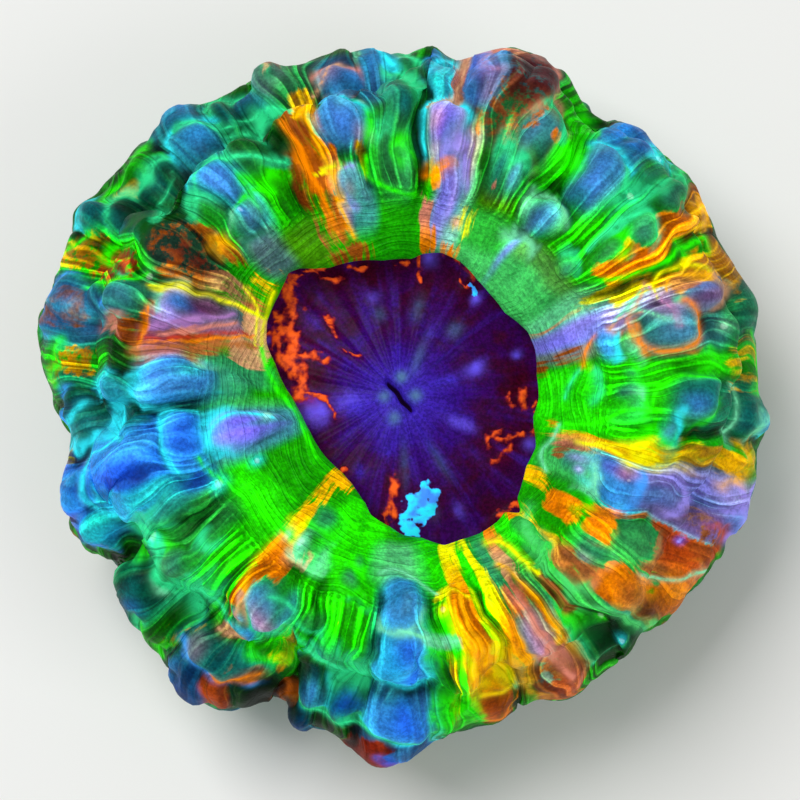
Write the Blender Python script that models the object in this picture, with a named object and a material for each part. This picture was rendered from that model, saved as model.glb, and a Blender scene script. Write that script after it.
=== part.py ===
"""A solitary button coral: one fleshy polyp grown over its stony cup, cut flat where it stood.

The polyp is one solid of revolution that is then shaped like the grown thing: a puffed ring of
flesh in stepped tiers, split into lobes by radial folds, around a sunken disc with a slit mouth.
Bearings are in degrees, counter-clockwise from +X as seen from above. Lengths are in millimetres
until they reach a vertex, which is in metres. The origin is the centre of the flat cut base.
"""
import math

import bmesh
import bpy

MM = 0.001

# Driving dimensions
RIM_RADIUS = 48.4         # mean reach of the widest tier
LIP_RADIUS = 19.0         # mean radius of the opening over the disc
CREST_HEIGHT = 40.6       # the ring's crest above the cut base
DISC_HEIGHT = 26.6        # the sunken disc, near the mouth
BASE_RADIUS = 36.0        # the flat cut
MERIDIANS = 96            # vertices round the ring

# Mouth
MOUTH_BEARING = 128.0
MOUTH_LENGTH = 6.6
MOUTH_WIDTH = 1.3
MOUTH_DEPTH = 3.0
MOUTH_LIPS = 0.5          # how far the flesh beside the slit stands up

# Section through the ring, from the disc's centre outwards and down: distance from the axis, height
SECTION = (
    (0.0, DISC_HEIGHT), (1.0, DISC_HEIGHT), (2.2, DISC_HEIGHT + 0.2), (4.0, DISC_HEIGHT),
    (9.0, DISC_HEIGHT - 0.9), (14.5, DISC_HEIGHT - 2.0), (19.2, 22.6),
    (21.4, 22.6), (20.9, 25.4), (LIP_RADIUS, 28.4), (20.4, 31.0),
    (24.4, 34.6), (28.6, 38.0), (33.0, CREST_HEIGHT), (37.2, CREST_HEIGHT - 0.3), (40.8, 37.6),
    (42.9, 34.2), (43.4, 31.4), (45.4, 29.2), (47.8, 25.6), (RIM_RADIUS, 20.6),
    (47.4, 13.4), (43.8, 6.2), (40.0, 1.6), (BASE_RADIUS, 0.0),
)
FLAT_DISC = 8.0           # inside this the disc stays round
CREST_RADIUS = 33.0       # here the section stops following the lip and starts following the rim

# Radius of the opening by bearing: it bulges in on the left and is widest towards the top left
OPENING = (
    (0, 19.0), (25, 19.6), (40, 18.5), (55, 19.4), (76, 20.9), (95, 19.2), (116, 20.5),
    (132, 23.2), (150, 21.4), (165, 18.2), (185, 14.6), (205, 13.6), (235, 13.5), (255, 16.8),
    (272, 19.2), (290, 21.0), (308, 21.4), (316, 22.4), (330, 19.8), (346, 18.9),
)

# Reach of the widest tier by bearing, a bump for each lobe and a notch for each fold
REACH = (
    (0, 50.0), (15, 51.0), (26, 48.8), (37, 50.4), (48, 50.2), (56, 47.8), (69, 52.4),
    (81, 49.4), (90, 50.6), (107, 49.8), (114, 51.4), (123, 49.2), (130, 52.2), (141, 50.6),
    (151, 52.2), (165, 51.4), (179, 48.8), (187, 46.6), (199, 50.2), (210, 45.8), (222, 49.4),
    (234, 51.2), (248, 44.2), (254, 47.2), (266, 50.2), (282, 47.0), (300, 47.0), (315, 46.0),
    (329, 48.6), (343, 50.6), (354, 49.8),
)

# Radial folds between the lobes: bearing, half width in degrees, depth
FOLDS = (
    (28, 3.0, 1.6), (55, 3.5, 2.4), (86, 3.0, 2.2), (118, 3.0, 1.8), (144, 4.0, 2.0),
    (183, 3.5, 2.0), (210, 3.0, 2.8), (248, 3.5, 2.6), (279, 3.0, 1.6), (292, 3.0, 1.8),
    (314, 3.0, 2.2), (337, 2.5, 1.6), (353, 2.5, 1.4),
)

# Swollen pads of flesh in rings: radius of the ring, pad's length along the section, its height
PAD_RINGS = ((31.0, 3.6, 1.1), (37.6, 3.8, 1.4), (42.4, 2.6, 1.5), (47.4, 3.0, 1.4))
PAD_BEARINGS = (6, 16, 35, 46, 63, 76, 94, 104, 127, 136, 158, 172, 193, 203, 218, 236, 256,
                268, 285, 299, 307, 325, 333, 345, 358)
PAD_SPREAD = 4.2          # half width in degrees
FIRST_PAD_RADIUS = 24.0   # no pads on the smooth slope inside this


def smooth(low, high, value):
    """0 below low, 1 above high, and an even rise between."""
    share = min(1.0, max(0.0, (value - low) / (high - low)))
    return share * share * (3.0 - 2.0 * share)


def turn_between(bearing, other):
    """Signed angle from one bearing to another, the short way round."""
    return (bearing - other + 180.0) % 360.0 - 180.0


def around(table, bearing):
    """Reads a (bearing, value) table all the way round, with an even curve between its entries."""
    for i, (start, value) in enumerate(table):
        end, after = table[(i + 1) % len(table)]
        span = (end - start) % 360.0
        ahead = (bearing - start) % 360.0
        if ahead < span:
            return value + (after - value) * smooth(0.0, 1.0, ahead / span)
    return table[0][1]


def curve_through(points):
    """The section's points with one more on a smooth curve between each two, but not on the disc."""
    curve = [points[0]]
    for i in range(1, len(points)):
        before, start = points[max(i - 2, 0)], points[i - 1]
        end, after = points[i], points[min(i + 1, len(points) - 1)]
        if i >= 4:
            curve.append(tuple(
                (9.0 * (start[k] + end[k]) - before[k] - after[k]) / 16.0 for k in range(2)
            ))
        curve.append(end)
    return curve


def radial_scale(radius, height, bearing):
    """How far the section is pulled in or out at this bearing to follow the opening and the rim."""
    lip = around(OPENING, bearing) / LIP_RADIUS
    rim = around(REACH, bearing) / RIM_RADIUS
    if radius < CREST_RADIUS and height > DISC_HEIGHT - 6.0:
        on_disc = 1.0 + (lip - 1.0) * smooth(FLAT_DISC, LIP_RADIUS, radius)
        return on_disc + (rim - lip) * smooth(LIP_RADIUS, CREST_RADIUS, radius)
    under = smooth(0.0, 12.0, height)
    return 1.0 + (rim - 1.0) * (0.4 + 0.6 * under)


def mouth_drop(x, y):
    """Depth of the slit mouth at a point of the disc, with a low swelling along its sides."""
    along = x * math.cos(math.radians(MOUTH_BEARING)) + y * math.sin(math.radians(MOUTH_BEARING))
    across = -x * math.sin(math.radians(MOUTH_BEARING)) + y * math.cos(math.radians(MOUTH_BEARING))
    ends = max(0.0, 1.0 - (2.0 * along / MOUTH_LENGTH) ** 4)
    slit = ends * math.exp(-((2.0 * across / MOUTH_WIDTH) ** 2))
    beside = math.exp(-(((abs(across) - MOUTH_WIDTH) / 0.7) ** 2)) * ends
    return MOUTH_DEPTH * slit - MOUTH_LIPS * beside


def swelling(radius, height, bearing):
    """Height of the pads, less the depth of the folds, at a point of the plain section."""
    on_ring = smooth(FIRST_PAD_RADIUS, FIRST_PAD_RADIUS + 5.0, radius) * smooth(2.0, 9.0, height)
    low_down = height < 24.0
    raised = 0.0
    for ring, (ring_radius, length, rise) in enumerate(PAD_RINGS):
        off_ring = (radius - ring_radius) / length
        if low_down and ring == len(PAD_RINGS) - 1:
            off_ring = (height - 20.0) / 9.0
        elif low_down:
            continue
        for place, pad in enumerate(PAD_BEARINGS):
            lean = 2.2 if (ring + place) % 2 else -2.2
            across = turn_between(bearing, pad + lean) / PAD_SPREAD
            raised = max(raised, rise * math.exp(-(across * across + off_ring * off_ring)))
    sunk = sum(
        depth * math.exp(-((turn_between(bearing, fold) / width) ** 2))
        for fold, width, depth in FOLDS
    )
    sunk *= smooth(24.0, 36.0, radius) - 0.6 * smooth(42.0, 47.0, radius)
    return on_ring * (raised - sunk)


def grow_polyp():
    """Spins the section into a closed solid, then pulls it into the grown shape."""
    mesh = bmesh.new()
    plain_radius = mesh.verts.layers.float.new("plain_radius")
    ring = []
    for radius, height in curve_through(SECTION):
        vertex = mesh.verts.new((radius, 0.0, height))
        vertex[plain_radius] = radius
        ring.append(vertex)
    ring.append(mesh.verts.new((0.0, 0.0, 0.0)))
    edges = [mesh.edges.new(pair) for pair in zip(ring, ring[1:])]
    bmesh.ops.spin(
        mesh, geom=ring + edges, cent=(0, 0, 0), axis=(0, 0, 1),
        angle=2.0 * math.pi, steps=MERIDIANS, use_merge=True,
    )
    bmesh.ops.remove_doubles(mesh, verts=mesh.verts, dist=0.001)

    plain = {}
    for vertex in mesh.verts:
        x, y, height = vertex.co
        radius = vertex[plain_radius]
        bearing = math.degrees(math.atan2(y, x)) % 360.0
        plain[vertex] = (radius, height, bearing)
        scale = radial_scale(radius, height, bearing)
        vertex.co = (x * scale, y * scale, height)
    bmesh.ops.recalc_face_normals(mesh, faces=mesh.faces)
    mesh.normal_update()

    for vertex in mesh.verts:
        radius, height, bearing = plain[vertex]
        if height > 0.0 and radius < MOUTH_LENGTH:
            vertex.co.z -= mouth_drop(vertex.co.x, vertex.co.y)
        elif height > 0.0:
            vertex.co += vertex.normal * swelling(radius, height, bearing)
    bmesh.ops.scale(mesh, vec=(MM, MM, MM), verts=mesh.verts)
    bmesh.ops.triangulate(mesh, faces=mesh.faces)
    bmesh.ops.recalc_face_normals(mesh, faces=mesh.faces)
    return mesh


def flesh_material():
    """Wet, soft flesh, green on the whole."""
    material = bpy.data.materials.new("flesh")
    material.use_nodes = True
    shader = material.node_tree.nodes["Principled BSDF"]
    shader.inputs["Base Color"].default_value = (0.05, 0.45, 0.16, 1.0)
    shader.inputs["Roughness"].default_value = 0.35
    shader.inputs["Metallic"].default_value = 0.0
    return material


def main():
    for old in list(bpy.context.scene.objects):
        bpy.data.objects.remove(old, do_unlink=True)
    shape = grow_polyp()
    data = bpy.data.meshes.new("polyp")
    shape.to_mesh(data)
    shape.free()
    data.materials.append(flesh_material())
    data.shade_smooth()
    polyp = bpy.data.objects.new("polyp", data)
    bpy.context.scene.collection.objects.link(polyp)


main()
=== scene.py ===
import math

import bmesh
import bpy
import numpy as np
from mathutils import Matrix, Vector, noise


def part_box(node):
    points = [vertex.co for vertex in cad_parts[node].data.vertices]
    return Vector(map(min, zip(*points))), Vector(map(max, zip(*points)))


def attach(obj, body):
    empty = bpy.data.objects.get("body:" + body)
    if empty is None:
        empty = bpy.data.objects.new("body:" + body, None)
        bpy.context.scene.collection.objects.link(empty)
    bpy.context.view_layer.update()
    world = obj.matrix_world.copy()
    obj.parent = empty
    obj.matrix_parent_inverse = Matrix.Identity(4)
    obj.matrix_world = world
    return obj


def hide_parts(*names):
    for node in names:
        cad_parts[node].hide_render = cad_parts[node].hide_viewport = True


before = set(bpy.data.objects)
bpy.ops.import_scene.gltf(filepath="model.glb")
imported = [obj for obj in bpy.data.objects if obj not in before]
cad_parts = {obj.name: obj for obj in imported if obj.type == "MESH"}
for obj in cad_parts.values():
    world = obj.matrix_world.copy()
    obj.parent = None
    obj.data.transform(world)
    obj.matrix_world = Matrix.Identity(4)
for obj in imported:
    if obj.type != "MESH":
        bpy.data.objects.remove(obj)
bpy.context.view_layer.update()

# A solitary button coral under actinic light: one fleshy polyp, puffed up in tiers round its disc.
# Places on it are given as (bearing, radius): degrees counter-clockwise from +X and mm from the
# middle, as they look from a little in front of straight above. Lengths are in mm until the end.

nodeLow, nodeHigh = (Vector(corner) * 1000.0 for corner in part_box("polyp"))
tall = nodeHigh.z - nodeLow.z

viewer = {
    "lean": 12.0,  # degrees off straight down, towards -Y
    "distance": 339.0,
    "level": 0.5 * tall,  # height of the widest tier
    "aim": (-0.28, -0.80),  # what the sight line meets at that level
    "middle": (-0.28, -0.28),  # where the middle of the view lies, as seen from the polyp's own middle
    "span": 111.2,  # mm across the view at that level
}


def seenFrom(place):
    # mm across and up a level sheet at the widest tier, as the viewer sees the point
    lean = math.radians(viewer["lean"])
    x = place[0] - viewer["aim"][0]
    y = place[1] - viewer["aim"][1]
    z = place[2] - viewer["level"]
    depth = viewer["distance"] + y * math.sin(lean) - z * math.cos(lean)
    grow = viewer["distance"] / depth
    across = x * grow + viewer["middle"][0]
    up = (y * math.cos(lean) + z * math.sin(lean)) * grow + viewer["middle"][1]
    return across, up


def placeSeenAt(across, up, level):
    # the other way about, near the middle: x and y of what is seen there at this height
    lean = math.radians(viewer["lean"])
    above = level - viewer["level"]
    grow = viewer["distance"] / (viewer["distance"] - above * math.cos(lean))
    x = (across - viewer["middle"][0]) / grow + viewer["aim"][0]
    y = (up - viewer["middle"][1]) / grow - above * math.sin(lean)
    return np.array([x, y / math.cos(lean) + viewer["aim"][1]])


polypForm = {
    "meridians": 660,
    "passes": 5,  # each draws the outline, the lip and the tier nearer to their tables
    "ringSpacing": 0.46,  # mm between rings where the skin shows
    "discHeight": 0.635 * tall,
    "tierHeight": 0.80 * tall,  # where the upper tier steps down
    "stepFill": 1.9,  # mm of flesh that fills the step where it is shallow
    "padRise": 1.55,  # swells every vesicle
    "padDroop": 0.4,  # how far its outer end hangs over, as a share of its rise
    "puffWidth": 3.1,  # the small puffs of skin between the vesicles
    "puffRise": 1.15,
    "ridgeRise": 0.22,  # the drawn-out ridges
    "foldCore": 0.65,  # share of a fold's depth that is a sharp crease
    "foldWings": 0.5,  # and what sinks beside it
    "foldSpread": 2.6,  # how many times wider
    "waveSize": 6.0,  # mm across the broad waves that every edge wanders with
    "fineSize": 2.4,  # mm across the finer ones
    "girth": 35.0,  # radius of the circle that patterns are laid round
    "seed": 7,
}

# Section of the ring of flesh, from under the disc out, over and down to the cut:
# radius in mm, height as a share of the whole
fleshSection = (
    (21.8, 0.50), (21.6, 0.56), (20.9, 0.62), (19.5, 0.665), (19.0, 0.700), (19.4, 0.735), (20.8, 0.770),
    (24.4, 0.840), (28.4, 0.905), (32.4, 0.945), (36.2, 0.950), (39.2, 0.930), (41.2, 0.880),
    (42.2, 0.815), (42.5, 0.755), (43.6, 0.720), (46.0, 0.675), (47.8, 0.600), (48.4, 0.500),
    (48.0, 0.390), (46.6, 0.265), (44.2, 0.140), (40.6, 0.045), (36.2, 0.0),
)

# Scalloped edge of the upper tier, where it steps down to the lower one: bearing, radius
tierEdge = (
    (0, 45.2), (6, 44.6), (12, 45.6), (17, 44), (22, 46.4), (28, 43.6), (32, 42.6), (36, 43.4), (41, 43.4),
    (45, 43), (49, 44.6), (53, 43.6), (56, 41), (61, 44.6), (64, 45.6), (68, 43), (74, 42.2), (77, 41.4),
    (81, 41.4), (84, 42), (88, 44.2), (92, 42.2), (96, 41.6), (101, 42.6), (106, 41.8), (111, 43.2),
    (114, 40.2), (116, 37.4), (120, 39.6), (125, 41.6), (130, 42), (134, 41.2), (140, 39.2), (145, 42.8),
    (150, 42.6), (153, 40.2), (157, 42.8), (162, 43.4), (166, 41.2), (171, 41.8), (176, 42.6), (181, 41.6),
    (184, 39.8), (188, 42.6), (193, 44.4), (199, 43.6), (203, 41.8), (206, 40.2), (209, 40.8), (212, 41.2),
    (216, 41.9), (220, 40.2), (225, 39), (231, 40.2), (236, 40), (241, 38.4), (244, 37.2), (250, 38.8),
    (256, 38.9), (261, 38.4), (265, 39.6), (270, 39.6), (275, 38.4), (279, 40.6), (283, 43.6), (287, 38.6),
    (291, 39.4), (294, 41.6), (298, 40.8), (303, 41.4), (309, 40.8), (313, 42.6), (316, 43.8), (320, 44),
    (325, 41.6), (330, 41.8), (335, 40.6), (340, 40.4), (345, 39.8), (349, 41), (353, 43.6), (356, 45.2),
)

# How deep the shade is under that edge: bearing, depth
tierShade = (
    (0, 0), (84, 0.1), (100, 0.5), (113, 0.8), (140, 0.8), (148, 0.3), (176, 0.3), (182, 0.8), (191, 0.3),
    (198, 0.4), (204, 1), (226, 1), (236, 0.4), (243, 0.9), (276, 0.9), (284, 0.2), (293, 0.5), (300, 0.3),
    (308, 0.6), (316, 0.8), (322, 0.3), (345, 0.1), (352, 0.4), (358, 0.2),
)

# Edge of the opening over the disc: bearing, radius
opening = (
    (0, 19), (10, 19), (20, 19.7), (28, 19.8), (40, 18.6), (50, 19), (57, 19.5), (67, 20.7), (75, 21),
    (82, 20.3), (86, 19.5), (98, 19.4), (107, 20.1), (119, 20.8), (124, 21.8), (128, 23), (132, 23.5),
    (135, 23), (140, 22.4), (150, 21.6), (158, 20.3), (165, 18.2), (170, 17.2), (175, 16.2), (180, 15.2),
    (185, 14.6), (190, 14.1), (200, 13.6), (225, 13.3), (232, 13.3), (240, 13.8), (245, 14.5), (251, 15.5),
    (255, 16.8), (265, 18), (270, 19), (278, 19.6), (286, 21.3), (292, 21.3), (300, 21.7), (308, 21.7),
    (312, 21.3), (316, 23), (319, 21.2), (326, 20.3), (331, 19.7), (340, 19.8), (348, 18.7), (352, 18.4),
)

# Outline of the whole polyp: bearing, radius
outline = (
    (0, 49.7), (5, 49.5), (11, 50), (15, 51.3), (20, 50), (25, 49.2), (30, 49.5), (34, 50), (37, 50.7),
    (40, 50), (45, 49.8), (49, 50.2), (52, 49), (54, 47.8), (56, 47.3), (58, 48.3), (61, 49.2), (63, 50.8),
    (67, 51.3), (70, 51.9), (73, 51.3), (76, 50), (79, 48), (82, 47.6), (85.5, 49.5), (88, 48), (90, 47.8),
    (95, 48.8), (100, 49.3), (105, 48.6), (108, 48.5), (113, 50.8), (116, 49), (118, 48.6), (123, 49),
    (126, 50.5), (129, 52), (132, 50.8), (140, 50.7), (146, 51), (150, 52.8), (153, 51.5), (158, 51.2),
    (162, 51), (165, 52), (170, 51.5), (175, 50.2), (179, 48.5), (182, 48.5), (185.5, 46), (189, 46.7),
    (192, 48), (195, 49.2), (199, 50.2), (202, 49.7), (205, 48.3), (208, 47), (210, 45.5), (211.5, 46),
    (214, 48), (220, 49), (228, 49.2), (230, 50.5), (234, 52), (237, 51.2), (241, 49.5), (245, 47),
    (248.5, 43), (251, 48), (252.5, 48.8), (255, 47.5), (258, 47.3), (261, 49), (264, 50.5), (266, 51.7),
    (270, 51), (273, 49.2), (275, 48), (280, 47), (283, 46.8), (286, 47.3), (290, 46), (294, 45.8),
    (298, 47.5), (300, 48), (304, 47.5), (308, 47.2), (312, 47.7), (315, 46.3), (318, 47.2), (322, 48.3),
    (326, 48), (331, 49.2), (334, 49.7), (337, 49.2), (339, 50.5), (341, 51), (344, 50.3), (347, 50.7),
    (350, 50), (353, 50), (356.5, 51.5),
)

# Radial folds between the lobes: bearing, half width in degrees, depth
folds = (
    (28, 2.2, 1.8), (55.5, 2.6, 2.6), (86, 2, 2.4), (117, 2.4, 2), (142, 3.5, 2), (153, 1.8, 1.6),
    (182, 2.6, 2.2), (209.5, 2.2, 2.4), (248, 2.8, 2.8), (279.5, 1.8, 1.5), (292, 2.2, 2), (310, 2.6, 2.4),
    (348, 2, 1.5), (353, 1.8, 1.3), (70, 1.8, 1), (98, 1.8, 1), (165, 2, 1), (228, 1.8, 1),
    (262.5, 1.8, 1.4), (304, 1.8, 1), (333, 2, 1.4), (41, 2, 0.9),
)

# Colours the living skin shows, and the near-blacks night and ink, laid mostly as painted shade
skinColours = {
    "lime": "#26F000",
    "leaf": "#18A000",
    "moss": "#0C4A14",
    "sea": "#46C464",
    "jade": "#30E090",
    "mint": "#74DCA8",
    "teal": "#127480",
    "slate": "#2C8064",
    "smoke": "#4488B0",
    "steel": "#3E82DC",
    "fern": "#2F8A50",
    "cyan": "#30F0FF",
    "sky": "#3A9CF8",
    "royal": "#246CFC",
    "navy": "#0A2AA0",
    "violet": "#7A68FF",
    "lilac": "#9A8CF0",
    "mauve": "#A070B0",
    "salmon": "#D4806C",
    "blush": "#BE84B0",
    "tan": "#C8946C",
    "yellow": "#F0F000",
    "amber": "#FFB800",
    "orange": "#F08000",
    "ember": "#C44A10",
    "rust": "#94480E",
    "clay": "#A8602C",
    "brick": "#B03418",
    "wine": "#5A1A28",
    "plum": "#8A3A72",
    "dusk": "#565684",
    "indigo": "#3A2A80",
    "olive": "#56700A",
    "night": "#1A1632",
    "ink": "#04180C",
}
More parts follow.
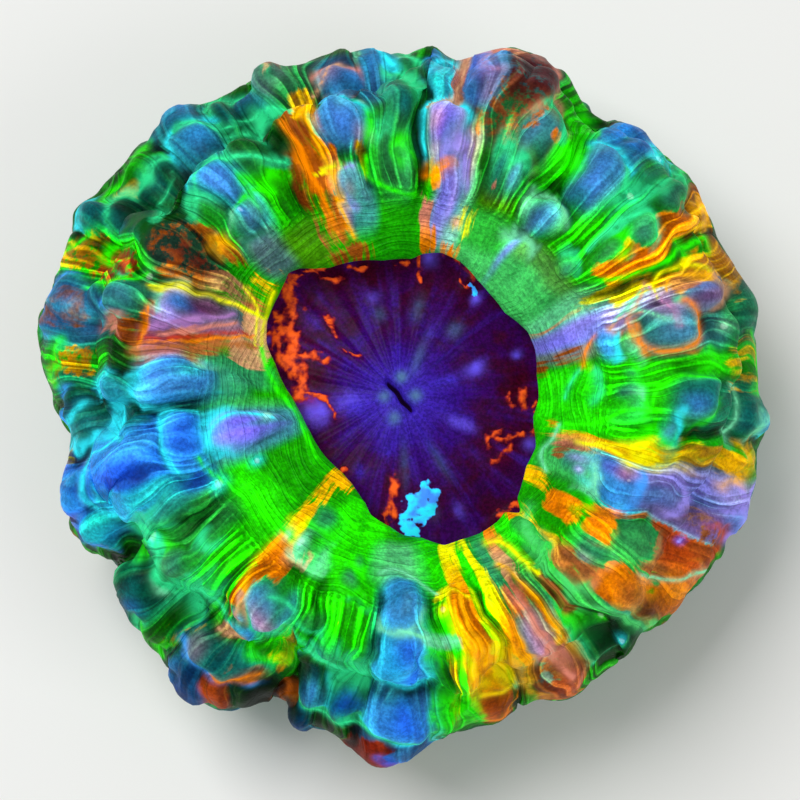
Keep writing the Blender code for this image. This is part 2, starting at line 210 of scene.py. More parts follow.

# Swollen vesicles: bearings from and to, radii from and to, rise, colour of the painted glow along the
# outer edge, and for some the colours of crown and side. The rest keep the colour of the ground they
# stand on. Each stands up steeply at its far end and runs back into the skin at the near one.
vesicles = (
    (-5.5, 3.8, 35.5, 43.6, 1.5, "lime", "teal", "fern"), (4, 8.4, 33.5, 43.5, 0.5, "lime"),
    (-1, 8, 24, 27.6, 0.5, "jade"), (-0.5, 4, 29.8, 33, 0.7, "lime", "slate", "fern"),
    (4, 7.6, 30.6, 33.4, 0.6, "lime", "slate", "fern"), (10, 19, 27.4, 31.8, 1, "cyan", "sky", "sky"),
    (9.5, 17.5, 31.4, 34.6, 0.8, "mint", "mint", "jade"), (9, 20, 34.4, 42, 1.9, "jade", "smoke", "slate"),
    (15.5, 23.5, 39, 46.8, 1.3, "tan", "steel", "mauve"),
    (33.5, 38.6, 31.4, 38.4, 0.9, "lime", "fern", "leaf"),
    (32.4, 37.8, 38, 42.8, 1.6, "jade", "slate", "fern"),
    (35, 39.6, 43.4, 49.2, 1.3, "jade", "slate", "fern"), (38, 40.4, 31, 43, 0.6, "jade"),
    (40.4, 43, 31, 42, 0.6, "jade"), (39, 44.5, 43.6, 49.6, 1, "cyan", "fern", "leaf"),
    (35.6, 43, 27.6, 31.2, 0.8, "jade", "slate", "fern"),
    (9.5, 20, 46.2, 51.2, 1.4, "mint", "slate", "teal"), (1, 9.4, 45.2, 49.6, 0.6, "lime"),
    (25.6, 29.6, 42, 45, 0.5, "lime", "moss", "leaf"), (25.8, 29, 45.4, 48.6, 0.6, "lime", "moss", "leaf"),
    (28.8, 33.4, 44, 49.8, 0.9, "amber"), (47.5, 58.6, 21.4, 28.2, 1, "mint"),
    (46.5, 58.8, 28.4, 34.6, 2.1, "mint", "smoke", "mint"),
    (42.6, 54.8, 34.6, 44.8, 2, "cyan", "steel", "smoke"),
    (44.4, 53.6, 43.6, 50.4, 1.6, "sky", "royal", "sky"), (53.2, 55.8, 33, 42.2, 0.7, "lime"),
    (55.8, 58.4, 33, 42, 0.7, "lime"), (53.2, 57.8, 41.4, 47.8, 1.1, "lime"),
    (58.6, 66, 34.8, 45.6, 1.7, "tan", "smoke", "slate"), (60.6, 65.4, 31, 37, 1, "jade", "smoke", "slate"),
    (65.6, 69.6, 31.4, 38.2, 1, "jade", "teal", "slate"), (63.5, 75.5, 37, 51.8, 2, "salmon"),
    (73, 80, 41.6, 50, 1.3, "salmon", "royal", "mauve"),
    (73.4, 80.4, 21.6, 35, 0.8, "lilac", "lilac", "smoke"),
    (79, 84.4, 27.6, 32.6, 0.8, "amber", "orange", "amber"),
    (75.6, 85.2, 32.2, 41.6, 1.8, "cyan", "violet", "mauve"),
    (80, 85.2, 41.4, 47.4, 1, "cyan", "cyan", "sky"), (83, 88, 44.8, 49.6, 1.1, "sky", "sky", "steel"),
    (87.4, 91.2, 27.6, 35, 0.9, "lime", "fern", "fern"), (87.4, 93.4, 36, 44.8, 1.3, "jade", "teal", "fern"),
    (88, 92, 44.4, 48, 0.9, "jade", "fern", "teal"), (91, 95.4, 30.6, 38, 0.9, "jade", "moss", "fern"),
    (95.2, 98.4, 30.6, 38.6, 0.8, "lime", "leaf", "fern"),
    (99.5, 108.4, 27.6, 33.2, 0.9, "lilac", "smoke", "dusk"),
    (104, 108, 24, 28.4, 0.5, "lilac", "dusk", "smoke"),
    (97, 107.8, 35.4, 42, 1.7, "cyan", "steel", "smoke"), (98, 105, 41.2, 47, 1.3, "salmon", "steel", "sky"),
    (91, 99, 42, 49, 1.5, "mint", "sky", "teal"), (108, 115, 44.8, 51, 1.4, "sky", "slate", "mauve"),
    (106.6, 112.8, 26, 33.4, 0.35, "yellow"), (106.5, 113, 33, 42, 0.2, "orange"),
    (113, 117.6, 28, 36.6, 0.7, "rust"), (113, 118.6, 36.2, 44.6, 1.1, "jade", "moss", "moss"),
    (118.6, 125, 36, 43, 1.1, "jade", "moss", "fern"), (118, 122.4, 28, 36.4, 0.6, "lime"),
    (122.6, 126.6, 28, 36, 0.6, "lime"), (125.4, 136, 30.4, 35.6, 1.5, "mint", "smoke", "slate"),
    (125, 134.8, 34.6, 41.8, 1.7, "cyan", "steel", "teal"),
    (134, 139.8, 34.6, 40, 0.8, "jade", "leaf", "fern"), (127.6, 137, 23.2, 30.4, 0.9, "slate"),
    (124.4, 134.2, 41.2, 47.6, 1.6, "cyan", "sky", "teal"),
    (125.2, 133.6, 46.4, 52.4, 1.6, "cyan", "sky", "sky"),
    (114.6, 119.6, 44, 48.8, 1, "jade", "steel", "teal"), (119.6, 125, 44, 48.8, 1, "jade", "teal", "moss"),
    (137.6, 142, 27, 33.2, 0.5, "amber"), (140, 151, 30, 43.2, 0.12, "moss"),
    (134.6, 141, 42.2, 48, 0.9, "jade", "moss", "teal"), (141, 150, 42.6, 49, 1.2, "jade", "ink", "teal"),
    (135, 146, 47, 50.6, 0.9, "lime"), (146.4, 153, 47.6, 52.6, 1.2, "cyan", "teal", "teal"),
    (151.4, 162.6, 24.2, 36.4, 1.7, "mint", "indigo", "mauve"), (157.6, 167, 21.6, 31, 0.7, "amber"),
    (162.6, 171.4, 30, 37.2, 0.8, "mauve"), (155.4, 165, 37.6, 43.2, 1.4, "sky", "smoke", "teal"),
    (163, 168, 36.6, 42, 0.6, "salmon"), (160, 170, 42.6, 51.4, 1.6, "sky", "steel", "teal"),
    (170.6, 181.4, 26.8, 36.8, 1.8, "cyan", "steel", "sky"), (166.4, 172.4, 22.2, 30, 0.8, "mint"),
    (171.8, 180.6, 20.4, 26, 0.8, "slate"), (174.6, 182, 36.2, 42.4, 1.5, "cyan", "teal", "sky"),
    (169.4, 174, 42, 48.6, 0.9, "lime"), (174, 178.6, 42, 48.6, 0.9, "lime"),
    (151, 156, 40, 46, 0.8, "lime"), (152, 160, 45.6, 51, 0.9, "lime"),
    (184.6, 198, 15.4, 28.2, 1.7, "cyan", "violet", "violet"),
    (182.6, 200.4, 27.4, 34.2, 1.5, "cyan", "royal", "sky"),
    (186.6, 205.4, 33, 44.6, 2.2, "cyan", "royal", "sky"),
    (192, 200, 43, 49.8, 1.6, "lilac", "sky", "royal"), (199.4, 207, 42, 48, 1.3, "sky", "cyan", "royal"),
    (180, 187.4, 33.2, 40.4, 1.1, "cyan", "teal", "moss"),
    (181.6, 190.6, 39.6, 46.6, 1.2, "cyan", "teal", "fern"),
    (178, 185.4, 41.6, 48.6, 1.2, "sky", "teal", "moss"),
    (203.8, 208.2, 29, 40.4, 0.8, "jade", "teal", "fern"), (208.4, 213, 29, 41, 0.8, "lime"),
    (213, 219.6, 34, 41.8, 1.1, "mint", "slate", "fern"), (219.6, 223, 29, 40, 0.7, "jade"),
    (223, 227, 29, 39.4, 0.7, "jade"), (213.4, 218.6, 28, 34.2, 0.6, "jade", "fern", "leaf"),
    (210.8, 221, 41.4, 48.6, 1.5, "jade", "teal", "moss"), (220.6, 227.6, 41.6, 49.2, 1, "lime"),
    (226.4, 233.6, 18.8, 24, 0.6, "yellow"), (233, 245.6, 18.6, 22.4, 0.7, "lime", "slate", "leaf"),
    (232, 246.4, 22.8, 26.8, 1, "mint", "slate", "mint"),
    (231.4, 243.4, 29.2, 37, 1.8, "jade", "smoke", "steel"),
    (230.8, 239, 36, 39.6, 0.9, "cyan", "sky", "teal"), (227.4, 243, 40.6, 46.8, 1.8, "sky", "teal", "teal"),
    (229, 236.4, 46.6, 52, 1.3, "royal", "navy", "steel"), (236, 240.4, 45.8, 49.8, 0.8, "ember"),
    (240.6, 247.8, 44, 49.6, 0.9, "moss", "ink", "moss"), (238, 244, 32, 41.6, 0.9, "lime"),
    (244.4, 251.4, 30.6, 35.2, 0.8, "jade", "fern", "fern"), (244.6, 250.6, 35, 39.4, 0.9, "lime"),
    (250.8, 256, 34.2, 38.4, 1.1, "jade", "slate", "teal"), (256, 259.4, 29, 38.8, 0.8, "jade"),
    (259.4, 262.8, 29, 38.8, 0.8, "jade"), (252, 258.6, 25.6, 28.8, 0.5, "lime", "fern", "leaf"),
    (253.8, 258.2, 22.6, 25.2, 0.4, "lime", "fern", "leaf"),
    (263, 276.6, 24.8, 32.6, 1.5, "mint", "smoke", "sky"),
    (262.4, 276, 31.2, 39.4, 2, "cyan", "royal", "sky"),
    (249, 256.4, 39.4, 45, 1.6, "cyan", "steel", "teal"),
    (256.2, 263.4, 39.6, 46, 1.4, "jade", "navy", "teal"),
    (262.6, 276, 39.6, 47.2, 1.7, "cyan", "royal", "sky"),
    (249.8, 254.8, 44.6, 49, 1.2, "sky", "navy", "teal"), (259.4, 269.6, 47.4, 51.8, 1.4, "orange"),
    (268.6, 275.6, 47, 51, 1, "royal", "navy", "steel"), (275.8, 278.4, 27.6, 34.4, 0.5, "lime"),
    (278.5, 281, 27.6, 34.4, 0.5, "lime"), (281.1, 283.8, 27.6, 34.4, 0.5, "lime"),
    (275.6, 277.5, 34.4, 44.6, 0.5, "lime"), (277.6, 279.5, 34.4, 44.6, 0.5, "lime"),
    (279.6, 281.5, 34.4, 44.6, 0.5, "lime"), (281.6, 283.6, 34.4, 44.6, 0.5, "lime"),
    (283.2, 287, 25, 38.4, 0.8, "yellow"), (287, 290.6, 26, 39, 0.8, "yellow"),
    (283, 290.6, 37, 43, 0.4, "amber"), (283, 290.8, 41.6, 47, 0.12, "orange"),
    (291.8, 296.4, 23, 41, 0.8, "amber"), (290.6, 295, 39.4, 44, 0.9, "jade", "teal", "fern"),
    (296, 300.6, 34, 41, 1, "mint", "smoke", "teal"), (300.4, 304.4, 26, 41, 1, "amber"),
    (294.6, 305.4, 40.6, 47.8, 0.12, "clay"), (304.2, 307.4, 29, 41.6, 0.7, "jade", "teal", "fern"),
    (306.8, 310, 29, 39.4, 0.6, "lime"), (305.4, 313.2, 41.4, 47.6, 0.9, "jade", "moss", "fern"),
    (310.2, 316, 22.8, 28.4, 0.9, "yellow", "leaf", "fern"), (312, 319.6, 29, 37, 0.3, "tan"),
    (319, 324.6, 31.4, 37, 0.25, "mint"), (318, 325.6, 25, 31.4, 0.5, "lime"),
    (326.4, 333, 23.2, 30, 0.5, "lime"), (332.4, 343.4, 21, 29.6, 1.1, "mint", "slate", "sea"),
    (323, 331, 30.4, 35.4, 0.25, "amber"), (325.6, 333.6, 34.2, 41.6, 0.3, "jade"),
    (314, 323.6, 35.4, 44, 0.15, "amber"), (323.6, 330, 40.4, 48, 0.25, "amber"),
    (327, 338, 39, 49.6, 0.5, "ember"), (333, 345.6, 28.4, 36, 0.3, "sky"),
    (335.6, 345, 35, 42, 0.12, "lilac"), (335.6, 341, 40.4, 49.6, 0.3, "lilac"),
    (340.6, 346, 40.4, 50.2, 0.35, "lilac"), (337.2, 341, 46.6, 50.4, 1, "cyan", "sky", "sky"),
    (345.6, 353, 38.4, 50, 0.9, "amber"), (350, 356.4, 35.8, 39, 0.7, "cyan", "smoke", "teal"),
    (353.6, 361, 29, 33.8, 0.9, "mint", "slate", "fern"), (353, 361.6, 45, 50, 0.9, "mint", "teal", "moss"),
    (354.4, 359.2, 48, 51.7, 1, "cyan", "sky", "steel"), (345.4, 349, 21.4, 36, 0.5, "yellow"),
    (348.6, 353.4, 25, 36, 0.5, "lime"),
)

# More of them low on the flanks, where the map runs on past the outline, placed by a seeded draw
flankTiers = ((52.5, 59, 40, 1.3), (58.5, 66, 36, 1.1), (65.5, 72, 34, 0.8))  # radii, count, rise
flankColours = (  # crown, side and the painted glow at the edge, and how often
    (("slate", "leaf", "jade"), 0.24), (("teal", "moss", "jade"), 0.22), (("moss", "leaf", "lime"), 0.2),
    (("royal", "sky", "cyan"), 0.12), (("rust", "ember", "orange"), 0.1), (("teal", "sky", "cyan"), 0.12),
)

# Areas of pigment under the vesicles, laid one over another: bearings, radii, colour, strength. Some
# dark ones are painted shade: the ink and night areas, and some moss and olive ones in creases, beside
# lobes and under the upper tier. The warm pigments lie in ragged patches: a strength of 0.6 covers
# about half of the ground.
warmPigments = ("orange", "amber", "yellow", "ember", "rust", "wine", "salmon", "clay", "brick", "tan")
grounds = (
    (346, 370, 18, 37, "lime", 0.8), (26, 76, 17, 28.4, "sea", 0.95), (28, 57, 25.4, 28.8, "olive", 0.6),
    (56, 72, 23, 30, "leaf", 0.7), (60, 70, 28.8, 31.4, "olive", 0.6), (12.5, 18.6, 18, 28, "mauve", 0.6),
    (17.4, 25, 16, 31, "violet", 0.85), (17.2, 21, 22.5, 29.6, "sky", 0.6), (24, 31, 19, 30.4, "mint", 0.7),
    (17, 24, 30, 33.6, "lilac", 0.8), (9, 23, 34, 46, "smoke", 0.7), (38.6, 44.4, 31, 43, "lime", 0.8),
    (38.6, 45, 43, 50, "leaf", 0.8), (44.5, 54, 41, 51, "steel", 0.6), (43.5, 48, 31, 36, "lime", 0.6),
    (53.6, 58.6, 33.6, 48, "lime", 0.8), (58.4, 61, 35, 42.6, "moss", 0.8), (61, 70, 31, 38, "slate", 0.6),
    (64, 76, 37, 46, "fern", 0.8), (63.5, 76, 45, 52, "indigo", 0.7), (72, 80, 41.6, 50.6, "steel", 0.9),
    (72, 81, 22, 33.4, "lilac", 0.8), (71, 76, 22, 31, "mint", 0.7), (76, 86, 33, 48, "sky", 0.7),
    (84.6, 87.6, 36, 45, "lime", 0.9), (87, 97, 28, 49, "fern", 0.8), (95, 99, 30, 39, "lime", 0.6),
    (83, 103, 19, 28, "leaf", 0.7), (98, 108.5, 24, 33.4, "smoke", 0.6), (97, 107.6, 35.6, 42, "steel", 0.8),
    (91, 105, 41.6, 49, "steel", 0.85), (105, 116, 44, 51, "slate", 0.7),
    (112.6, 119, 36, 44.6, "moss", 0.9), (118, 127, 27, 37, "leaf", 0.8),
    (116, 127, 36.6, 44.6, "moss", 0.8), (114, 126, 44.4, 49, "teal", 0.8), (125, 136, 30, 53, "steel", 0.6),
    (127, 137, 23.4, 30.6, "dusk", 0.75), (116, 128, 21.5, 28, "olive", 0.5),
    (134, 140, 32, 38, "lime", 0.6), (134, 142, 38, 50, "moss", 0.9), (139, 152, 30, 43.4, "night", 0.9),
    (140, 152, 43, 50, "ink", 0.6), (135, 147, 47.6, 50.8, "leaf", 0.7), (146, 153.6, 48, 53, "teal", 0.9),
    (150, 160.6, 40, 51.6, "lime", 0.7), (166, 177, 18, 31, "slate", 0.7),
    (166.6, 175.6, 37.4, 42.4, "moss", 0.95), (169, 179, 42, 49.6, "lime", 0.8),
    (170.6, 182, 21.6, 27, "slate", 0.7), (170.6, 182, 27, 37, "steel", 0.9),
    (174.4, 183, 36.6, 48.8, "teal", 0.8), (179, 187.6, 25, 35, "teal", 0.5),
    (160, 170.6, 42.6, 52, "steel", 0.8), (155, 165.4, 37.8, 43.4, "slate", 0.8),
    (151, 163, 24, 37, "dusk", 0.8), (181, 187, 16, 26, "sea", 0.6), (184, 201, 15, 28, "smoke", 0.8),
    (182.6, 206, 28, 50.6, "royal", 0.95), (180, 191, 40, 47, "teal", 0.7),
    (200, 227, 14, 22.5, "leaf", 0.6), (201, 227, 22.4, 27, "lime", 0.95), (204, 219, 28, 41, "fern", 0.6),
    (216, 230, 28, 38, "lime", 0.7), (206, 226, 40.4, 44, "moss", 0.9),
    (210.6, 221.4, 41.8, 48.8, "teal", 0.6), (233, 246, 18.8, 22.6, "slate", 0.6),
    (240, 264, 16, 36, "lime", 0.9), (236, 262, 26, 29, "leaf", 0.7), (227, 244, 41, 47.4, "teal", 0.9),
    (228.6, 241, 46.8, 52.4, "navy", 0.8), (239.6, 250, 43.6, 50.4, "ink", 0.9),
    (248.6, 264, 38.6, 48.6, "ink", 0.8), (262.4, 277, 25.4, 39.4, "sky", 0.9),
    (262.4, 277, 39.4, 51.6, "steel", 0.9), (260, 277, 20.6, 25.6, "mint", 0.5),
    (274, 284, 19.4, 28, "lime", 0.6), (275.6, 284, 27.6, 47, "lime", 0.5),
    (295.6, 300, 22, 30, "slate", 0.8), (298, 301.4, 29, 38, "slate", 0.6),
    (303.6, 308, 26, 41.6, "fern", 0.8), (305, 312, 21.6, 28.6, "lime", 0.7),
    (304.6, 314.6, 41.4, 48, "moss", 0.9), (311, 316, 33, 42, "sea", 0.7),
    (314.6, 317.6, 41, 46.8, "smoke", 0.8), (332, 344, 21.4, 29.6, "sea", 0.9),
    (332.6, 346, 29, 36, "sky", 0.95), (335.4, 342, 35, 39, "smoke", 0.9),
    (335.6, 347, 38, 50.6, "mauve", 0.9), (344, 350, 37, 39.4, "teal", 0.7),
    (353, 363, 37.4, 50, "teal", 0.7), (9.4, 20, 46, 51.6, "slate", 0.8), (8, 14, 18, 21, "rust", 0.7),
    (10, 17, 21.6, 26, "rust", 0.5), (24, 26.6, 18, 29, "tan", 0.7), (22.6, 28, 31.4, 38, "yellow", 0.8),
    (26, 29.4, 27.4, 34, "yellow", 0.85), (20, 28.8, 37, 50, "amber", 0.95),
    (28.4, 35.6, 32.6, 40.6, "orange", 1), (27.8, 33.6, 38, 47, "orange", 1),
    (27.6, 36.4, 42.6, 51.4, "orange", 1), (16.4, 34, 46.8, 51.4, "amber", 0.95),
    (26, 29, 39, 49, "leaf", 0.7), (0, 10, 45, 50, "amber", 0.44), (68, 76, 20, 23, "orange", 0.6),
    (67, 75, 23.4, 28.6, "yellow", 0.5), (78, 83.6, 20.6, 24.4, "orange", 0.75),
    (79.6, 84.4, 23.6, 28.4, "salmon", 0.75), (72.6, 78, 31, 38.6, "blush", 0.7),
    (64, 76, 37.6, 46, "clay", 0.52), (63.6, 72, 44, 52, "wine", 0.66), (68, 78, 48.8, 52.4, "salmon", 0.8),
    (98, 101, 30.6, 36.6, "yellow", 0.7), (98, 102, 34.4, 37, "rust", 0.7),
    (101, 118, 19.4, 22.8, "rust", 0.62), (109, 117, 22.6, 28, "clay", 0.5),
    (105.6, 113.6, 24, 30, "orange", 0.66), (104.6, 114.6, 30, 38.4, "orange", 0.74),
    (107.6, 113, 37.6, 42.6, "rust", 0.7), (104.4, 108.4, 30.4, 34.6, "salmon", 0.7),
    (113, 118, 28, 37, "rust", 0.65), (112.8, 116, 37, 43.6, "rust", 0.62),
    (106.6, 111.6, 41, 45.4, "amber", 0.75), (137.6, 142, 28, 38.6, "rust", 0.7),
    (134, 146, 22.6, 26.4, "amber", 0.42), (144, 153, 22.4, 33, "clay", 0.62),
    (146, 153, 30, 38.8, "rust", 0.55), (139.6, 150, 31, 43, "rust", 0.42), (142, 148, 30, 38, "wine", 0.4),
    (140, 145, 45.6, 48.8, "amber", 0.6), (152, 159.6, 41, 47, "ember", 0.6),
    (150.6, 159, 46, 51.6, "amber", 0.6), (160, 168.4, 26, 34, "clay", 0.6),
    (150, 168.6, 18.6, 25.4, "tan", 0.72), (144, 152, 25.6, 31, "tan", 0.6),
    (163, 171.4, 31, 37.4, "plum", 0.7), (160, 169, 36.2, 38, "orange", 0.8),
    (162.6, 168.4, 37, 41.6, "rust", 0.78), (170, 176.6, 42.6, 47, "amber", 0.6),
    (172, 178, 47, 49.4, "rust", 0.6), (188, 193.6, 46, 48.6, "yellow", 0.55),
    (225.6, 242, 13, 15.6, "amber", 0.78), (226, 236, 15, 19, "amber", 0.6),
    (226.4, 234, 18.8, 24.4, "amber", 0.85), (228, 236.6, 24.8, 31.4, "orange", 0.97),
    (233, 240.6, 25, 28, "tan", 0.8), (228.6, 233, 30, 38, "orange", 0.9), (226, 230, 42, 49, "amber", 0.45),
    (236, 243, 43.4, 46.4, "orange", 0.7), (235, 240.4, 46.4, 50, "ember", 0.8),
    (246.4, 250, 44, 48.4, "rust", 0.62), (242, 245, 35.6, 41.6, "amber", 0.6),
    (259.6, 269.8, 47.8, 52, "brick", 0.95), (283, 295, 20.4, 27.4, "yellow", 0.68),
    (279, 284, 26.4, 29, "yellow", 0.7), (278.8, 281.6, 35.6, 46.6, "amber", 0.78),
    (283, 290.8, 25.6, 47.4, "orange", 1), (283, 291, 43, 47.6, "ember", 0.7),
    (291.6, 296.6, 26, 34, "yellow", 0.95), (292, 297, 33, 42.6, "orange", 0.95),
    (296.6, 304.6, 29, 41.4, "orange", 0.7), (299.6, 304.4, 24, 31, "tan", 0.75),
    (294.4, 306, 40.8, 48, "clay", 0.95), (300.6, 306, 21.4, 25, "orange", 0.7),
    (306.6, 309.6, 30, 38, "clay", 0.6), (310.6, 316, 20.8, 23.6, "orange", 0.8),
    (290.2, 292.6, 23, 40, "lime", 0.95), (290, 295, 40, 46.6, "moss", 0.85),
    (314.6, 319.6, 22.6, 29.6, "amber", 0.85), (313, 320, 28.6, 36.6, "clay", 0.88),
    (322, 329.6, 23.8, 29.8, "orange", 0.95), (324.6, 334, 19.4, 23.8, "amber", 0.6),
    (323, 331.4, 30.8, 35.6, "orange", 0.95), (331.4, 336.6, 32.2, 38.8, "clay", 0.8),
    (315, 323.8, 36.4, 43.4, "orange", 1), (323.6, 328, 36.4, 46, "clay", 0.88),
    (316.6, 322, 41, 47.6, "clay", 0.8), (320, 329, 43.6, 48.4, "orange", 0.92),
    (327, 338.6, 40, 50, "ember", 0.97), (341.6, 347, 21.4, 28.4, "salmon", 0.82),
    (344.8, 349, 22, 37.6, "amber", 0.88), (342.6, 349, 33, 37.4, "amber", 0.7),
    (347, 351, 34, 39, "orange", 0.5), (344.8, 351.6, 38.8, 50, "amber", 0.68),
    (348.4, 352, 19.6, 21.8, "orange", 0.6), (325.6, 333, 35, 41.4, "fern", 0.9),
    (319.4, 324, 31, 36.2, "slate", 0.8), (327, 334, 29, 34.6, "orange", 0.85),
    (317.6, 321.6, 24, 30, "leaf", 0.8), (329.6, 333.6, 23, 31, "leaf", 0.85),
    (323, 325.4, 35.6, 41, "sea", 0.7), (333.4, 345.6, 26.6, 37.4, "sky", 0.9),
    (334.6, 346.4, 35.6, 50.6, "lilac", 0.85), (336, 339.6, 39, 47, "mauve", 0.7),
)

# Smaller flushes of pigment over the vesicles, in the same terms
flushes = (
    (340, 344, 29, 33.6, "violet", 0.5), (336.6, 341, 32.6, 42, "sky", 0.6),
    (341, 345, 33, 38, "lilac", 0.5), (342, 346, 38, 47, "violet", 0.5),
    (17.6, 24.4, 17, 29.6, "lilac", 0.75), (18, 22, 20, 26, "violet", 0.6),
    (19, 23.6, 32.4, 40, "lilac", 0.6), (11, 18.6, 36.6, 41, "smoke", 0.7),
    (266, 274, 33.4, 37.6, "royal", 0.7), (264.6, 268, 32, 38.6, "cyan", 0.45),
    (199, 204, 33.4, 39.6, "cyan", 0.85), (193.6, 200, 36.4, 43.6, "navy", 0.8),
    (188, 195, 30.2, 33.2, "navy", 0.4), (200.4, 205.4, 43, 47.2, "cyan", 0.7),
    (187, 192.6, 35, 43, "sky", 0.85), (196, 205, 40, 43.4, "cyan", 0.5), (172, 175, 28.6, 32, "cyan", 0.5),
    (58.6, 61, 40.8, 42.8, "orange", 0.75), (63.4, 66, 40, 45.4, "clay", 0.62),
    (66, 67.4, 32, 33.4, "salmon", 0.6), (17, 20, 41.6, 46.8, "plum", 0.7),
    (16, 24, 36.4, 40.6, "mauve", 0.6), (20.6, 24.8, 40, 44.6, "salmon", 0.75),
    (151.6, 157.6, 27.2, 31.4, "plum", 0.75), (154, 158, 31.8, 34.6, "sky", 0.7),
    (158.6, 163, 32.8, 36.8, "lilac", 0.85), (156.6, 160.8, 23.6, 28, "blush", 0.6),
    (163, 171, 31.4, 37, "plum", 0.7), (234.6, 240.4, 34.8, 36, "blush", 0.8),
    (230.6, 236, 39.2, 41, "tan", 0.7), (228.2, 232.4, 42.8, 46.4, "blush", 0.6),
    (102.6, 104.8, 29.2, 30.8, "plum", 0.6), (340, 343.6, 32.4, 34.6, "blush", 0.8),
    (162, 168.6, 44, 51, "clay", 0.45), (317.6, 320, 32.6, 34.8, "mauve", 0.6),
    (296, 303.6, 44.6, 48.6, "brick", 0.75), (297, 301, 38, 43, "mauve", 0.5),
    (296, 299.6, 43, 45.6, "mauve", 0.6), (80.2, 84.6, 33, 36, "blush", 0.7),
    (81, 84.6, 37, 39.4, "blush", 0.7), (77.4, 79.8, 25, 32.4, "violet", 0.7),
    (78.2, 81, 41, 48.4, "salmon", 0.85), (72.6, 76, 42, 46, "plum", 0.6),
    (97.4, 101, 36.2, 38.4, "blush", 0.6), (101, 103.4, 45, 46.4, "blush", 0.7),
    (109, 114, 47, 50, "salmon", 0.35), (193, 200.6, 48.2, 50.6, "blush", 0.6),
    (340, 342.6, 39.6, 48, "steel", 0.7), (336, 340, 42, 47, "tan", 0.5),
    (53.8, 55.4, 22.6, 28.2, "violet", 0.9), (48.6, 54, 29.4, 33.4, "steel", 0.5),
    (46, 53, 35.6, 39, "teal", 0.6), (297, 303.4, 33.4, 41, "blush", 0.62),
    (298, 301, 30, 33, "salmon", 0.6), (330, 338, 45.6, 49.4, "clay", 0.5),
    (328.6, 332, 40.6, 42.6, "brick", 0.6), (337, 344, 22, 25, "clay", 0.55),
    (339.4, 342, 24.6, 27.6, "lilac", 0.7), (354, 356.6, 39, 45, "moss", 0.7),
    (356.6, 359.6, 38.6, 41.4, "steel", 0.7), (264, 268, 40.6, 46.6, "sky", 0.6),
    (217, 219.4, 45, 46.8, "sky", 0.9),
)

